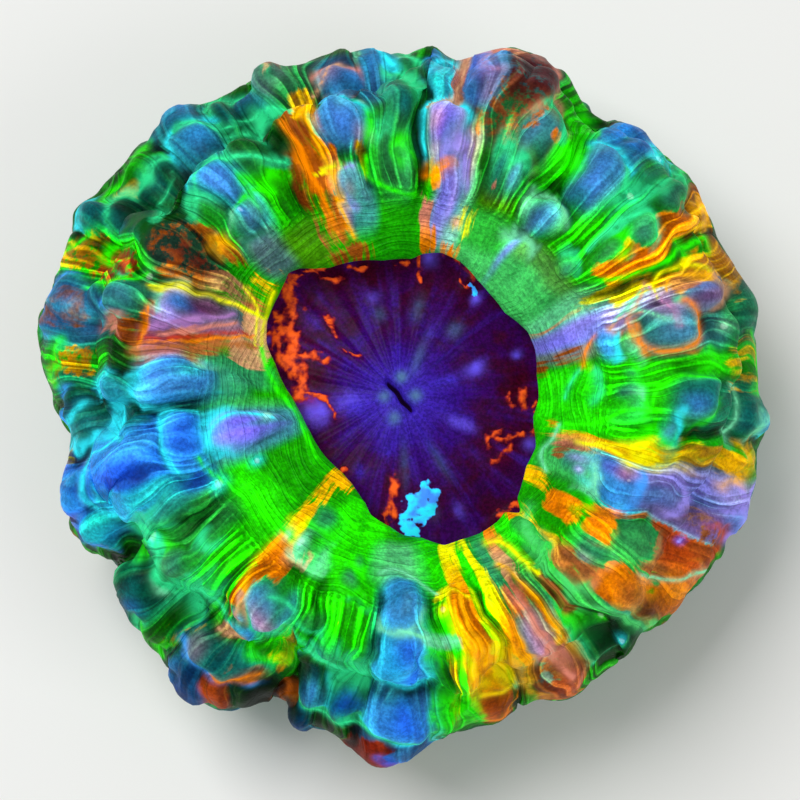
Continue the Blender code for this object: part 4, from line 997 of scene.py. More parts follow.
def paintSkin(skin):
    # works out every field that the flesh material reads
    bearing, radius, waves, lift = (skin[key] for key in ("bearing", "radius", "waves", "lift"))
    skin["streak"] = grain(laidRound(bearing + 1.2 * waves, radius, 0.2), 2.0, 5.7)
    glow, arc, covered, paintedPadLight = layColours(skin)
    tint, warm = shadeSkin(skin, paintedPadLight)

    routes = np.hstack([paint[row[0]][:, 0] for row in ridges])[:, skin["line"]]
    glow = blend(glow, routes, rise(4.5, 2.5, skin["away"]))
    tint = blend(tint, routes, 0.15 * np.exp(-(skin["away"] ** 2) * 0.35))

    glint, speckle = np.zeros(bearing.shape), np.zeros(bearing.shape)
    x, y = pointAt(bearing, radius)
    for atBearing, atRadius, halfWidth, name in spotsAndGlints:
        dotX, dotY = pointAt(atBearing, atRadius)
        spot = np.exp(-((np.hypot(x - dotX, y - dotY) / halfWidth) ** 2) * 1.4)
        tint, warm = (blend(colours, paint[name], np.clip(1.2 * spot, 0.0, 1.0)) for colours in (tint, warm))
        glint = np.maximum(glint, spot)
    for area in speckled:
        speckle = np.maximum(speckle, areaField(bearing, radius, area, 0.8, 0.8))

    # four smooth places where the drawn lines fade: the slope at the upper right, the lilac band,
    # the lobe at the lower right and the netted side at the right
    smoothSlope = rise(25.0, 30.0, bearing) * rise(76.0, 70.0, bearing) * rise(30.0, 26.0, radius)
    lilacBand = np.exp(-((turnBetween(bearing, 21.0) / 4.0) ** 2)) * rise(31.0, 28.0, radius)
    softLobe = rise(313.0, 318.0, bearing) * rise(338.0, 332.0, bearing) * rise(28.0, 32.0, radius)
    nettedSide = rise(18.0, 11.0, np.abs(turnBetween(bearing, 359.0))) * rise(28.0, 33.0, radius)
    calm = np.maximum.reduce([smoothSlope, lilacBand, 0.7 * softLobe, 0.5 * nettedSide])
    girth = rise(31.0, 26.0, radius) * (1.0 - 0.6 * smoothSlope)  # where the ridges run round instead
    stripe = (1.0 - skinLight["linesOnPads"] * covered) * (1.0 - skinLight["linesCalmed"] * calm)
    stripe = np.clip(stripe * (1.0 - skinLight["linesOnSlope"] * girth), 0.0, 1.0)
    stripe = stripe * rise(0.0, 0.5, skin["height"] / tall)
    # how deep each point lies in a crease, for the painted shade there
    hollow = (0.5 * (soften(lift, 2) - lift) + 0.5 * (soften(lift, 7) - lift)) * (1.0 - 0.7 * softLobe)
    flow = laidRound(bearing + 2.5 * waves + soften(skin["bend"], 1), radius + 1.2 * waves)
    print("skin painted")
    return (
        ("tint", "FLOAT_COLOR", np.clip(np.stack([soften(part, 1) for part in tint]), 0.0, 1.0)),
        ("warm", "FLOAT_COLOR", np.clip(warm, 0.0, 1.0)), ("share", "FLOAT", skin["share"]),
        ("glow", "FLOAT_COLOR", np.clip(glow, 0.0, 1.0)), ("speckle", "FLOAT", speckle),
        ("rim", "FLOAT", skin["edge"]), ("arc", "FLOAT", arc * (1.0 - 0.8 * softLobe)),
        ("ridge", "FLOAT", skin["away"]), ("hollow", "FLOAT", hollow), ("stripe", "FLOAT", stripe),
        ("girth", "FLOAT", girth), ("flow", "FLOAT_VECTOR", flow), ("glint", "FLOAT", glint),
    )


discForm = {
    "meridians": 360,
    "rings": 76,
    "reach": 24.0,  # mm to its plain edge
    "tucked": 1.9,  # mm it runs on under the lip
    "thick": 3.0,
    "domed": 1.4,  # mm the disc rises towards the mouth
    "edgeDrop": 2.2,  # mm it falls towards the lip
    "girth": 18.0,  # radius of the circle that its rays are laid round
    "rays": 24,
    "rayRise": 0.13,  # mm
    "bumpSize": 1.5,  # mm across the low bumps between them
    "bumpRise": 0.12,
    "ribbonRise": 0.25,  # mm that ribbons stand up, and torn flaps
    "flapRise": 0.35,
    "mouthAt": (-0.35, 0.35),  # where the viewer sees it
    "mouthBearing": 128.0,
    "mouthLength": 6.2,
    "mouthWidth": 0.7,
    "mouthDepth": 2.6,
    "mouthLips": 0.4,  # mm the flesh beside the slit stands up
}

discColours = {
    "indigo": "#2A0874",
    "plum": "#2C0044",
    "maroon": "#30000E",
    "bluish": "#3826A8",
    "iris": "#6654F0",
    "rose": "#B040C0",
    "fogged": "#486C8C",
    "ray": "#3826B4",
    "dark": "#12001E",
    "flame": "#EC5A1C",
    "coral": "#8A1C1A",
    "aqua": "#28D4F0",
    "azure": "#3E84F0",
    "mouthShade": "#160428",
}

# Paler patches on the disc: bearing, radius, half widths across and along, colour, strength
discPatches = (
    (22, 10.8, 0.9, 1.6, "iris", 0.9), (21, 7.4, 0.8, 2.4, "bluish", 0.9),
    (106, 14.5, 0.9, 0.9, "iris", 0.5), (142, 15.8, 1.4, 1.4, "bluish", 0.6),
    (337, 9, 0.8, 2.4, "iris", 0.5), (194, 17.4, 0.7, 0.9, "iris", 0.5), (297, 17.5, 0.7, 1, "iris", 0.5),
    (187.5, 12, 1.9, 2.8, "iris", 1), (181, 13.4, 0.7, 1.6, "rose", 0.6), (182, 7.2, 1.1, 1.7, "iris", 0.6),
    (100, 17.4, 4.6, 2.4, "maroon", 0.8), (62, 17, 4, 2.4, "maroon", 0.6),
    (193, 6.5, 1.2, 1.6, "bluish", 0.9), (240, 11.5, 1, 1.2, "bluish", 0.7),
    (228, 14.5, 0.9, 0.9, "fogged", 0.6), (53.6, 17.3, 0.6, 0.8, "iris", 0.9),
    (79, 19.8, 1.2, 1.3, "iris", 1), (340.6, 18.7, 0.9, 1, "iris", 0.9), (20.4, 17, 0.6, 0.7, "iris", 0.9),
    (156.5, 20.2, 0.6, 0.6, "iris", 0.9), (80, 13, 0.9, 2, "fogged", 0.35), (52, 12, 1, 1.2, "fogged", 0.35),
    (68, 6.4, 0.7, 2.4, "fogged", 0.4), (92, 2.9, 0.8, 0.8, "fogged", 0.9),
    (10, 1.9, 0.8, 0.8, "fogged", 0.9), (176, 2.4, 0.8, 0.8, "fogged", 0.8),
    (248, 2.9, 0.8, 0.9, "fogged", 0.8), (272, 9.5, 0.6, 3, "fogged", 0.35),
    (301, 10, 0.6, 2.6, "fogged", 0.3), (105, 12, 0.8, 1, "fogged", 0.35),
    (285, 16, 0.8, 1.4, "fogged", 0.35), (322, 13.5, 0.8, 2.4, "bluish", 0.5),
    (255, 8.4, 0.8, 1.8, "bluish", 0.6), (65, 9.6, 1, 2, "bluish", 0.4), (6, 16.4, 3.4, 2.6, "maroon", 1),
    (118, 17, 3.4, 2, "maroon", 0.5), (155, 14, 3, 4, "maroon", 0.4), (330, 17.4, 3, 2, "maroon", 0.7),
)

# Flame-coloured ribbons curling over the disc: width, places along them
discRibbons = (
    (1.9, (136, 22.6), (139, 20.6), (142, 19.2), (146, 18.6), (149.4, 18.2)),
    (1.1, (140, 20.2), (144, 20), (148.6, 20.4)),
    (2.3, (149.5, 18.6), (150.4, 17.2), (153, 16.4), (157, 16.4), (161, 16.8), (164, 15.8)),
    (2.3, (164, 15.4), (167.4, 14.4), (171, 13.9), (175, 14), (179, 14.4)),
    (0.8, (159.2, 19.2), (155, 19.5), (151, 19.2), (149.2, 17.8)),
    (1.1, (160, 16.6), (157, 15), (154.6, 14), (154.2, 12)),
    (1.2, (161.6, 17.3), (165, 16.4), (168.4, 15.4), (172.4, 13.5)),
    (0.9, (146, 20.8), (150, 19.6), (154, 20.4), (157, 21)),
    (1.2, (160.6, 18.4), (163.6, 17.6), (166.4, 16.4)), (0.8, (157, 18.6), (160.6, 17.8), (163, 16.4)),
    (0.6, (176.5, 14.8), (177.6, 12.2), (182.6, 10.2), (190, 9.7), (198, 9.6)),
    (0.8, (132.4, 23), (128.6, 22), (124.8, 21.8), (118.8, 21.2)),
    (0.8, (123.4, 20.2), (121, 19), (118.4, 18.8)), (0.7, (112, 19.6), (108.6, 19), (105, 18.8)),
    (0.6, (133, 15.8), (135.4, 14.2), (137, 12.6)), (0.5, (140.3, 10.6), (137, 8.3)),
    (0.9, (132.8, 14.6), (135.8, 13.2)), (0.8, (83.4, 19.2), (81.8, 17.4), (79.6, 16.2)),
    (0.7, (88, 18.8), (92, 18.4)), (0.8, (73.4, 21), (69.6, 20.9), (65.8, 20.4), (61.4, 19.8), (58, 19.2)),
    (0.6, (64.2, 18.8), (61.2, 17.8), (59, 17.9)), (1.2, (355.6, 17.2), (359.6, 16.4), (363.4, 17)),
    (0.8, (356, 15.4), (360.6, 14.8)), (0.9, (330.6, 13.6), (335.4, 13), (340.6, 14.2)),
    (1, (336.6, 14.4), (340, 15.8), (343, 17.4)), (0.9, (324.2, 15.2), (329, 16), (334.2, 16.4)),
    (1.1, (264, 11.4), (264.6, 14), (266.4, 16.8)), (0.8, (261.6, 17.2), (263.6, 15)),
    (0.8, (318.6, 22), (314, 21.4), (308, 21.2)), (0.6, (345, 18.6), (350.6, 19), (356, 18.4)),
    (0.6, (229, 13.4), (231.6, 12.8)),
)

# Torn flaps of bright skin, in the same terms
discFlaps = (
    (2.5, (273.5, 18.9), (273.5, 17.2), (275, 15.6), (279, 14.4), (284, 13.9)),
    (2.1, (277, 16.8), (281.5, 15.8), (285.5, 15.2)), (1.2, (286, 14.4), (290, 14.1)),
    (0.9, (55.2, 18), (58.4, 18.2)),
)


def patchField(x, y, patch):
    # 0 at the middle of an oval patch whose length points at the mouth, 1 at its edge
    bearing, radius, halfAcross, halfAlong = patch[:4]
    out, across = alongBearing(x, y, bearing)
    return np.hypot((out - radius) / halfAlong, across / halfAcross)


def shapeDisc(places, top):
    # tucks the plain disc under the lip all the way round, and raises rays and mouth on its top
    bearing, plainRadius = polarOf(*places.T[:2])
    angle, shareOut = np.radians(bearing), plainRadius / discForm["reach"]
    centre = placeSeenAt(*discForm["mouthAt"], polypForm["discHeight"] + discForm["domed"])
    farX, farY = pointAt(bearing, 22.0)
    farSeen = seenFrom((farX + centre[0], farY + centre[1], polypForm["discHeight"]))
    edgeAt = around(opening, polarOf(*farSeen)[0]) + discForm["tucked"]
    radius = shareOut * blend(0.86 * discForm["reach"], edgeAt, shareOut ** 1.5)
    x, y = pointAt(bearing, radius)

    along, across = alongBearing(x, y, discForm["mouthBearing"])
    ends = np.clip(1.0 - (2.0 * along / discForm["mouthLength"]) ** 4, 0.0, 1.0)
    bend = across + 0.1 * np.sin(along * 2.2)
    slit = ends * np.exp(-((2.0 * bend / discForm["mouthWidth"]) ** 2))
    lips = ends * np.exp(-(((np.abs(bend) - 0.95) / 0.5) ** 2))
    rayed = angle * discForm["rays"]
    ray = np.cos(rayed + 0.8 * np.sin(angle * 5.0)) + 0.46 * np.cos(2.0 * rayed)
    bumps = grain(np.stack([x, y, 0.0 * x]), discForm["bumpSize"], 2.2)
    lift = discForm["domed"] * (1.0 - rise(0.0, 15.0, radius))
    lift = lift - discForm["edgeDrop"] * rise(11.0, 22.0, radius)
    lift = lift - discForm["mouthDepth"] * slit + discForm["mouthLips"] * lips
    lift = lift + discForm["rayRise"] * ray * rise(2.0, 6.0, radius) + discForm["bumpRise"] * bumps
    grown = np.stack([x + centre[0], y + centre[1], places[:, 2] + lift * top], axis=1)
    flow = np.stack([*pointAt(bearing, discForm["girth"]), radius], axis=1)
    return grown, slit * top, flow


def growDisc():
    rings, reach, level = discForm["rings"], discForm["reach"], polypForm["discHeight"]
    plain = [(reach * (i / (rings - 1)) ** 1.25, level) for i in range(rings)]
    section = plain + [(reach, level - discForm["thick"]), (0.0, level - discForm["thick"])]
    data, places, ringOf = spinPiece("oralDisc", section, discForm["meridians"])
    top = ringOf < rings
    grown, slit, flow = shapeDisc(places, top)

    x, y = seenFrom(grown.T)
    seenRadius = np.hypot(x, y)
    colour = {name: np.array(linear(code)) for name, code in discColours.items()}
    # indigo skin, bluish at the middle and plum at the lip, painted lighter on the domed middle and darker
    # towards the lip as shade under it
    tint = blend(colour["indigo"], colour["plum"], rise(5.0, 14.0, seenRadius)[:, None])
    tint = blend(tint, colour["bluish"], 0.6 * (1.0 - rise(1.0, 9.0, seenRadius))[:, None])
    lit = np.zeros(len(grown))
    wobble, frayed = grain(grown.T, 1.6, 9.1), grain(grown.T, 0.8, 4.4)
    for patch in discPatches:
        name, strength = patch[4:]
        q = patchField(x, y, patch) + 0.25 * wobble
        amount = strength * 0.9 * np.exp(-q * q)
        tint = blend(tint, colour[name], amount[:, None])
        lit = np.maximum(lit, amount * (name in ("iris", "rose", "fogged")))
    waved = x + 0.45 * wobble, y + 0.6 * frayed
    away = routeField(*waved, discRibbons)[0] * (1.0 + 0.5 * wobble + 0.35 * frayed)
    tint = blend(tint, colour["maroon"] * 2.0, 0.7 * np.exp(-(away ** 2) / 8.0)[:, None])
    fleck = 1.0 - 0.5 * away
    flap = 1.0 - 0.5 * routeField(*waved, discFlaps)[0]
    grown[top, 2] += discForm["ribbonRise"] * rise(0.4, 0.9, fleck[top])
    grown[top, 2] += discForm["flapRise"] * rise(0.4, 0.9, flap[top])
    print("disc grown")
    return finishPiece(data, grown, (
        ("tint", "FLOAT_COLOR", tint), ("fleck", "FLOAT", fleck), ("flap", "FLOAT", flap),
        ("slit", "FLOAT", slit), ("flow", "FLOAT_VECTOR", flow), ("reach", "FLOAT", seenRadius),
        ("lit", "FLOAT", lit),
    ))


def addNode(tree, kind, inputs=(), output=0, **settings):
    # adds a node, sets it up and fills its inputs by number or name, and gives back one output
    made = tree.nodes.new("ShaderNode" + kind)
    for name, value in settings.items():
        setattr(made, name, value)
    for socket, value in inputs.items() if isinstance(inputs, dict) else enumerate(inputs):
        if isinstance(value, bpy.types.NodeSocket):
            tree.links.new(value, made.inputs[socket])
        else:
            made.inputs[socket].default_value = value
    return made.outputs[output]


def newMaterial(name):
    material = bpy.data.materials.new(name)
    material.use_nodes = True
    tree = material.node_tree
    return material, tree, tree.nodes["Principled BSDF"]


def finishMaterial(tree, shader, colour, height, finish):
    # colour, gloss and relief, and for living tissue some of its colour given back as its own light
    tree.links.new(colour, shader.inputs["Base Color"])
    if finish["ownLight"]:
        tree.links.new(colour, shader.inputs["Emission Color"])
    shader.inputs["Emission Strength"].default_value = finish["ownLight"]
    shader.inputs["Roughness"].default_value = finish["roughness"]
    shader.inputs["IOR"].default_value = finish["ior"]
    shader.inputs["Specular IOR Level"].default_value = finish["gloss"]
    relief = {"Strength": finish["relief"], "Distance": finish["reliefHeight"] * 0.001, "Height": height}
    tree.links.new(addNode(tree, "Bump", relief), shader.inputs["Normal"])


def hexColour(code):
    return (*linear(code), 1.0)


fleshFinish = {
    "ridgeWidth": 1.15,  # mm between the radial ridges of the skin
    "ridgeLength": 12.0,  # mm along which one of them runs
    "striae": 176,  # finer ridges in the whole ring
    "hoopWidth": 0.95,  # mm between the hoops of the inner slope
    "hairWidth": 0.5,  # mm between the fine striae
    "mottleSize": 2.381,  # mm across a blotch
    "speckSize": 1.1765,  # mm across a warm speck
    "gritSize": 0.4348,  # pigment cells, drawn this coarse so that they show
    "warmSpread": 0.62,  # how much of the ground a share of warm pigment covers
    "roughness": 0.42,
    "ior": 1.37,  # water in flesh
    "gloss": 0.05,
    "relief": 0.8,
    "reliefHeight": 0.7,  # mm
    "ownLight": 0.42,  # share of its colour that the flesh gives back as fluorescence
}


def fleshMaterial():
    # Living coral tissue, grown: wet skin over water, drawn into bright pigmented ridges
    material, tree, shader = newMaterial("wetCoralTissue")
    tint, warm, glow = (addNode(tree, "Attribute", output="Color", attribute_name=name)
                        for name in ("tint", "warm", "glow"))
    share, rim, arc, ridge, hollow, stripe, girth, glint, speckle = (
        addNode(tree, "Attribute", output="Fac", attribute_name=name)
        for name in ("share", "rim", "arc", "ridge", "hollow", "stripe", "girth", "glint", "speckle"))
    flow = addNode(tree, "Attribute", output="Vector", attribute_name="flow")
    place = addNode(tree, "TexCoord", output="Object")

    # ridges and hairs run out from the mouth, or round it on the inner slope
    drawn = []
    for width, length in ((fleshFinish["ridgeWidth"], fleshFinish["ridgeLength"]),
                          (fleshFinish["hairWidth"], fleshFinish["ridgeLength"] / 1.6)):
        ways = []
        for stretch in ((1.0 / width, 1.0 / width, 1.0 / length), (1.0 / length, 1.0 / length, 2.2 / width)):
            laid = addNode(tree, "Mapping", {"Vector": flow, "Scale": stretch})
            ways.append(addNode(tree, "TexNoise", {"Vector": laid, "Scale": 0.62, "Detail": 1.5,
                                                   "Roughness": 0.5, "Distortion": 0.5}))
        drawn.append(addNode(tree, "Mix", {0: girth, 2: ways[0], 3: ways[1]}, data_type="FLOAT"))
    lines, hairs = drawn

    # striae are even waves that sway with the ridges
    x, y, out = addNode(tree, "SeparateXYZ", (flow,)).node.outputs
    turn = addNode(tree, "Math", (y, x), operation="ARCTAN2")
    sway = addNode(tree, "Math", (lines, 9.0), operation="MULTIPLY")
    ways = []
    hoopRate = 2.0 * math.pi / fleshFinish["hoopWidth"]
    for field, rate in ((turn, float(fleshFinish["striae"])), (out, hoopRate)):
        phase = addNode(tree, "Math", (field, rate, sway), operation="MULTIPLY_ADD")
        ways.append(addNode(tree, "Math", (phase,), operation="SINE"))
    striae = addNode(tree, "Mix", {0: girth, 2: ways[0], 3: ways[1]}, data_type="FLOAT")
    crestField = addNode(tree, "Math", (striae, 0.11, lines), operation="MULTIPLY_ADD")
    offThread = addNode(tree, "Math", (lines, 0.57), operation="SUBTRACT")
    offThread = addNode(tree, "Math", (offThread,), operation="ABSOLUTE")

    mottle, grit, specks = (
        addNode(tree, "TexNoise", {"Vector": place, "Scale": 1000.0 / fleshFinish[size], "Detail": detail,
                                   "Roughness": rough})
        for size, detail, rough in (
            ("mottleSize", 4.0, 0.65), ("gritSize", 2.0, 0.6), ("speckSize", 3.0, 0.6)))
    laid = addNode(tree, "Mapping", {"Vector": flow, "Scale": (1.0, 1.0, 0.2)})
    streaks = addNode(tree, "TexNoise", {"Vector": laid, "Scale": 1.0, "Detail": 4.0, "Roughness": 0.62,
                                         "Distortion": 0.4})

    # the warm pigment shows wherever a ragged, streaky field rises over what its share leaves bare
    ragged = addNode(tree, "Mix", {0: speckle, 2: streaks, 3: specks}, data_type="FLOAT")
    bare = addNode(tree, "Math", (share, fleshFinish["warmSpread"], -0.81), operation="MULTIPLY_ADD")
    spread = addNode(tree, "Math", (ragged, bare), operation="ADD")

    ramp = {name: addNode(tree, "MapRange", row, interpolation_type="SMOOTHSTEP") for name, row in {
        "warmPatch": (spread, -0.11, 0.11, 0.0, 1.0),
        "crest": (crestField, 0.44, 0.64, 0.0, 1.0),
        "strand": (hairs, 0.50, 0.62, 0.0, 1.0),
        "thread": (offThread, 0.0, 0.026, 0.5, 0.0),
        "blotch": (mottle, 0.36, 0.60, 0.4, 0.0),
        "cells": (grit, 0.38, 0.62, 0.0, 1.0),
        "sunken": (hollow, 0.04, 0.55, 0.0, 0.88),
        "broken": (mottle, 0.36, 0.55, 0.25, 1.0),
        "rimHalo": (rim, 1.6, 0.1, 0.0, 0.18),
        "rimLine": (rim, 0.75, 0.0, 0.0, 0.62),
        "ridgeHalo": (ridge, 2.4, 0.5, 0.0, 0.2),
        "ridgeLine": (ridge, 1.15, 0.1, 0.0, 0.85),
        "glintLight": (glint, 0.45, 0.8, 0.0, 0.6),
    }.items()}
    offGirth = addNode(tree, "Math", (girth, -0.6, 1.0), operation="MULTIPLY_ADD")
    drawnUp = addNode(tree, "Math", (stripe, offGirth), operation="MULTIPLY")
    fineness = addNode(tree, "Math", (drawnUp, 0.5, 0.1), operation="MULTIPLY_ADD")
    brokenArc = addNode(tree, "Math", (arc, ramp["broken"]), operation="MULTIPLY")
    haired, threaded, haloed, rimmed, lined = (
        addNode(tree, "Math", pair, operation="MULTIPLY") for pair in (
            (ramp["strand"], fineness), (ramp["thread"], drawnUp), (ramp["rimHalo"], arc),
            (ramp["rimLine"], brokenArc), (ramp["ridgeLine"], ramp["broken"])))
    ridgeShade, cellShade = (
        addNode(tree, "Mix", {0: factor, 6: dark, 7: bright}, 2, data_type="RGBA")
        for factor, dark, bright in (
            (ramp["crest"], (0.46, 0.34, 0.38, 1.0), (1.9, 2.1, 1.5, 1.0)),
            (ramp["cells"], (0.80, 0.78, 0.80, 1.0), (1.12, 1.14, 1.12, 1.0))))

    colour = tint
    for way, factor, over in (
        ("MIX", ramp["warmPatch"], warm),
        ("MULTIPLY", drawnUp, ridgeShade),  # bright crests, dark between
        ("MULTIPLY", haired, (1.6, 1.8, 1.4, 1.0)),
        ("MULTIPLY", threaded, (1.7, 2.2, 1.7, 1.0)),
        ("ADD", threaded, (0.03, 0.06, 0.01, 1.0)),
        ("MULTIPLY", ramp["blotch"], (0.14, 0.26, 0.22, 1.0)),
        ("MULTIPLY", 1.0, cellShade),
        ("MULTIPLY", ramp["sunken"], (0.03, 0.09, 0.06, 1.0)),  # painted shade in the creases
        # painted glow at the far edges of the vesicles, then the drawn ridges in their own colours
        ("MIX", haloed, glow),
        ("MIX", rimmed, glow),  # painted glow along the bright far edge of each vesicle
        ("MIX", ramp["ridgeHalo"], glow),
        ("MIX", lined, glow),
        # painted glint on each spot
        ("ADD", ramp["glintLight"], (0.25, 0.25, 0.25, 1.0)),
    ):
        colour = addNode(tree, "Mix", {0: factor, 6: colour, 7: over}, 2, data_type="RGBA", blend_type=way)

    raised = addNode(tree, "Math", (hairs, 0.8, ramp["crest"]), operation="MULTIPLY_ADD")
    firm = addNode(tree, "Math", (stripe, 0.12), operation="ADD")
    pitted = addNode(tree, "Math", (mottle, 0.3), operation="MULTIPLY")
    height = addNode(tree, "Math", (raised, firm, pitted), operation="MULTIPLY_ADD")
    finishMaterial(tree, shader, colour, height, fleshFinish)
    return material


discFinish = {
    "rayWidth": 1.818,  # mm across a ray at the edge
    "rayStretch": 0.12,  # how much a ray is drawn out along the disc
    "crumbSize": 1.25,  # mm across the ragged bites in ribbons and flaps
    "crumbDepth": 1.6,
    "cloudSize": 4.348,  # mm across a dusky cloud
    "gritSize": 0.4348,  # pigment cells, drawn this coarse so that they show
    "roughness": 0.45,
    "ior": 1.37,
    "gloss": 0.1,
    "relief": 0.2,
    "reliefHeight": 0.5,  # mm
    "ownLight": 0.42,
}


def discMaterial():
    # Oral disc tissue, grown: thin dark skin drawn into fine rays, flecked with flame pigment
    material, tree, shader = newMaterial("oralDiscTissue")
    tint = addNode(tree, "Attribute", output="Color", attribute_name="tint")
    fleck, flap, slit, reach, lit = (addNode(tree, "Attribute", output="Fac", attribute_name=name)
                                     for name in ("fleck", "flap", "slit", "reach", "lit"))
    flow = addNode(tree, "Attribute", output="Vector", attribute_name="flow")
    place = addNode(tree, "TexCoord", output="Object")
    laid = addNode(tree, "Mapping", {"Vector": flow, "Scale": (1.0, 1.0, discFinish["rayStretch"])})
    rays = addNode(tree, "TexNoise", {"Vector": laid, "Scale": 1.0 / discFinish["rayWidth"], "Detail": 2.0,
                                      "Roughness": 0.5})
    crumbs, clouds, grit = (
        addNode(tree, "TexNoise", {"Vector": place, "Scale": 1000.0 / discFinish[size], "Detail": detail,
                                   "Roughness": rough})
        for size, detail, rough in (
            ("crumbSize", 2.0, 0.45), ("cloudSize", 3.0, 0.6), ("gritSize", 2.0, 0.6)))
    bitten = addNode(tree, "Math", (crumbs, 0.5), operation="SUBTRACT")
    speck, torn = (
        addNode(tree, "Math", (bitten, discFinish["crumbDepth"], field), operation="MULTIPLY_ADD")
        for field in (fleck, flap))

    ramp = {name: addNode(tree, "MapRange", row, interpolation_type="SMOOTHSTEP") for name, row in {
        "rayed": (rays, 0.46, 0.72, 0.0, 0.22),
        "between": (rays, 0.54, 0.34, 0.0, 0.24),
        "outward": (reach, 4.0, 12.0, 0.35, 0.9),
        "cloud": (clouds, 0.60, 0.38, 0.0, 0.75),
        "offMouth": (reach, 3.0, 12.0, 0.0, 1.0),
        "cells": (grit, 0.38, 0.62, 0.72, 1.22),
        "flaming": (speck, 0.6, 1.2, 0.0, 1.0),
        "flecked": (speck, 0.42, 0.85, 0.0, 1.0),
        "flapMiddle": (torn, 0.45, 0.7, 0.0, 1.0),
        "pearly": (clouds, 0.38, 0.52, 0.0, 1.0),
        "flapped": (torn, 0.42, 0.60, 0.0, 1.0),
        "mouth": (slit, 0.25, 0.6, 0.0, 1.0),
    }.items()}
    shaded, dusky, pearled = (
        addNode(tree, "Math", (ramp[first], ramp[second]), operation="MULTIPLY")
        for first, second in (("between", "outward"), ("cloud", "offMouth"), ("flapMiddle", "pearly")))
    flame, skinFlap = (
        addNode(tree, "Mix", {0: factor, 6: hexColour(discColours[dull]), 7: hexColour(discColours[bright])},
                2, data_type="RGBA")
        for factor, dull, bright in ((ramp["flaming"], "coral", "flame"), (pearled, "azure", "aqua")))

    colour = tint
    for way, factor, over in (
        ("MIX", ramp["rayed"], hexColour(discColours["ray"])),
        # dark between the rays, deepened towards the lip as painted shade under it
        ("MIX", shaded, hexColour(discColours["dark"])),
        ("MIX", dusky, hexColour(discColours["maroon"])),
        ("MULTIPLY", 1.0, ramp["cells"]),
        ("MIX", lit, tint),  # the paler patches stay clean
        ("MIX", ramp["flecked"], flame),
        ("MIX", ramp["flapped"], skinFlap),
        # the slit painted near-black: painted shade deep in the mouth, over its dark purple
        ("MIX", ramp["mouth"], hexColour(discColours["mouthShade"])),
    ):
        colour = addNode(tree, "Mix", {0: factor, 6: colour, 7: over}, 2, data_type="RGBA", blend_type=way)
    height = addNode(tree, "Math", (rays, crumbs), operation="ADD")
    finishMaterial(tree, shader, colour, height, discFinish)
    return material


stoneFinish = {
    "plates": 72,  # radial plates round the whole cup
    "poreSize": 1.4286,  # mm
    "sway": 4.6,  # how far the plates wander about their bearings
    "solid": (6.0, 12.0),  # mm from the middle within which they fade into a spongy core
    "dull": "#B8AC92",
    "pale": "#E2DAC6",
    # colour of the painted shade in the gaps between the plates
    "gap": "#6E6250",
    "roughness": 0.85,
    "ior": 1.5,
    "gloss": 0.5,
    "relief": 0.8,
    "reliefHeight": 0.8,  # mm
    "ownLight": 0.0,
}


def stoneMaterial():
    # Aragonite, grown and then sawn: chalky cut face with the radiating plates of the cup
    material, tree, shader = newMaterial("sawnAragonite")
    place = addNode(tree, "TexCoord", output="Object")
    x, y, _ = addNode(tree, "SeparateXYZ", (place,)).node.outputs
    bearing = addNode(tree, "Math", (y, x), operation="ARCTAN2")
    away = addNode(tree, "VectorMath", (place,), "Value", operation="LENGTH")
    pores = addNode(tree, "TexNoise", {"Vector": place, "Scale": 1000.0 / stoneFinish["poreSize"],
                                       "Detail": 5.0, "Roughness": 0.65})
    offPore = addNode(tree, "Math", (pores, 0.5), operation="SUBTRACT")
    sway = addNode(tree, "Math", (offPore, stoneFinish["sway"]), operation="MULTIPLY")
    phase = addNode(tree, "Math", (bearing, float(stoneFinish["plates"]), sway), operation="MULTIPLY_ADD")
    plates = addNode(tree, "Math", (phase,), operation="SINE")
    inner, outer = (0.001 * edge for edge in stoneFinish["solid"])
    between, offMiddle, chalky = (
        addNode(tree, "MapRange", row, interpolation_type="SMOOTHSTEP") for row in (
            (plates, -0.1, -0.7, 0.0, 1.0), (away, inner, outer, 0.0, 1.0), (pores, 0.35, 0.65, 0.0, 1.0)))
    gaps = addNode(tree, "Math", (between, offMiddle), operation="MULTIPLY")
    # the gaps between the plates painted darker, as shade in them
    shaded = addNode(tree, "Math", (gaps, 0.7), operation="MULTIPLY")
    colour = hexColour(stoneFinish["dull"])
    for factor, name in ((chalky, "pale"), (shaded, "gap")):
        over = hexColour(stoneFinish[name])
        colour = addNode(tree, "Mix", {0: factor, 6: colour, 7: over}, 2, data_type="RGBA")
    height = addNode(tree, "Math", (pores, gaps), operation="SUBTRACT")
    finishMaterial(tree, shader, colour, height, stoneFinish)
    return material


mantle = growMantle()
mantle.data.materials.append(fleshMaterial())
mantle.data.materials.append(stoneMaterial())
for face in mantle.data.polygons:
    if face.center.z < 0.00002:  # metres: the flat cut underneath
        face.material_index = 1
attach(mantle, "root")
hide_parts("polyp")

oralDisc = growDisc()
oralDisc.data.materials.append(discMaterial())
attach(oralDisc, "root")
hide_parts("polyp")

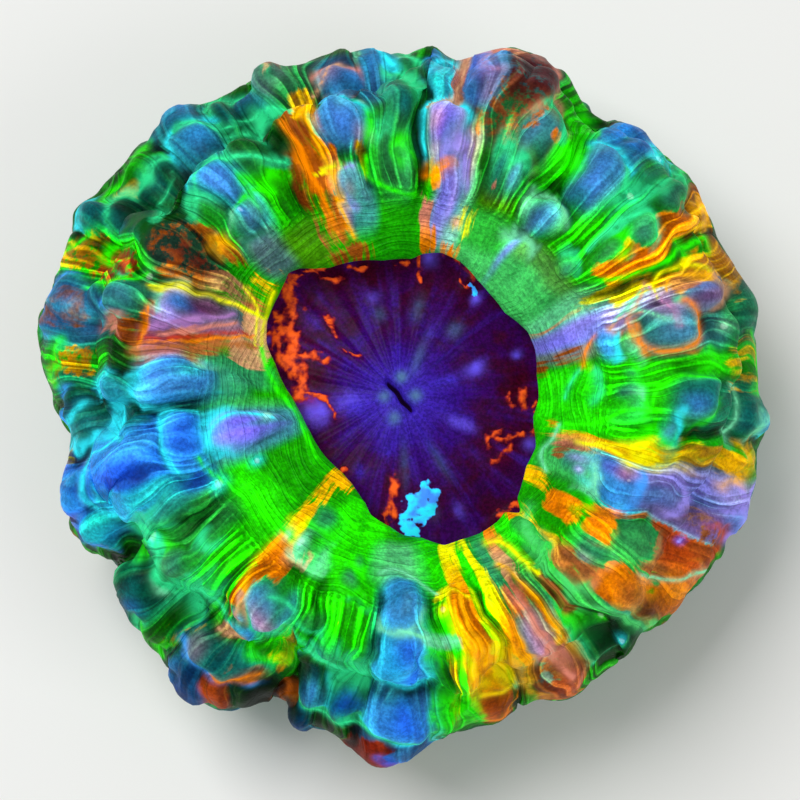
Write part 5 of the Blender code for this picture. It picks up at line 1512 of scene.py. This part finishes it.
studio = {
    "floorSize": 6.0,  # metres, as are the places and sizes of the lamps
    "floorColour": "#ECECEA",
    "floorRoughness": 0.9,
    "sky": 0.30,  # strength of the even light from all round
    "lampSize": 0.5,
    "keyPower": 5.8,  # watts
    "keyPlace": (-0.35, 0.25, 0.75),
    "fillPower": 2.1,
    "fillPlace": (0.6, -0.4, 0.5),
}


def setStage():
    sheet = bmesh.new()
    bmesh.ops.create_grid(sheet, x_segments=1, y_segments=1, size=studio["floorSize"] / 2)
    data = bpy.data.meshes.new("floor")
    sheet.to_mesh(data)
    sheet.free()
    floor = bpy.data.objects.new("floor", data)
    bpy.context.scene.collection.objects.link(floor)
    # Board, painted matt: an even pale ground that takes soft shadows and shows no grain
    material, _, shader = newMaterial("mattPaintedBoard")
    shader.inputs["Base Color"].default_value = hexColour(studio["floorColour"])
    shader.inputs["Roughness"].default_value = studio["floorRoughness"]
    data.materials.append(material)
    floor.location.z = -0.00005  # just clear of the cut

    world = bpy.data.worlds.new("softRoom")
    world.use_nodes = True
    background = world.node_tree.nodes["Background"]
    background.inputs["Color"].default_value = (1.0, 1.0, 1.0, 1.0)
    background.inputs["Strength"].default_value = studio["sky"]
    bpy.context.scene.world = world

    for name in ("key", "fill"):
        lamp = bpy.data.lights.new(name + "Light", "AREA")
        lamp.energy = studio[name + "Power"]
        lamp.size = studio["lampSize"]
        light = bpy.data.objects.new(name + "Light", lamp)
        light.location = studio[name + "Place"]
        light.rotation_euler = (-light.location).to_track_quat("-Z", "Y").to_euler()
        bpy.context.scene.collection.objects.link(light)


def setCamera():
    lean = math.radians(viewer["lean"])
    aim = Vector((*viewer["aim"], viewer["level"])) * 0.001
    away = Vector((0.0, -math.sin(lean), math.cos(lean))) * viewer["distance"] * 0.001
    lens = bpy.data.cameras.new("camera")
    lens.sensor_width = 36.0
    lens.lens = lens.sensor_width * viewer["distance"] / viewer["span"]
    camera = bpy.data.objects.new("camera", lens)
    camera.location = aim + away
    camera.rotation_euler = (lean, 0.0, 0.0)
    bpy.context.scene.collection.objects.link(camera)
    bpy.context.scene.camera = camera


setStage()
setCamera()
bpy.context.scene.view_settings.view_transform = "Standard"
print("stage and camera set")


print("done")
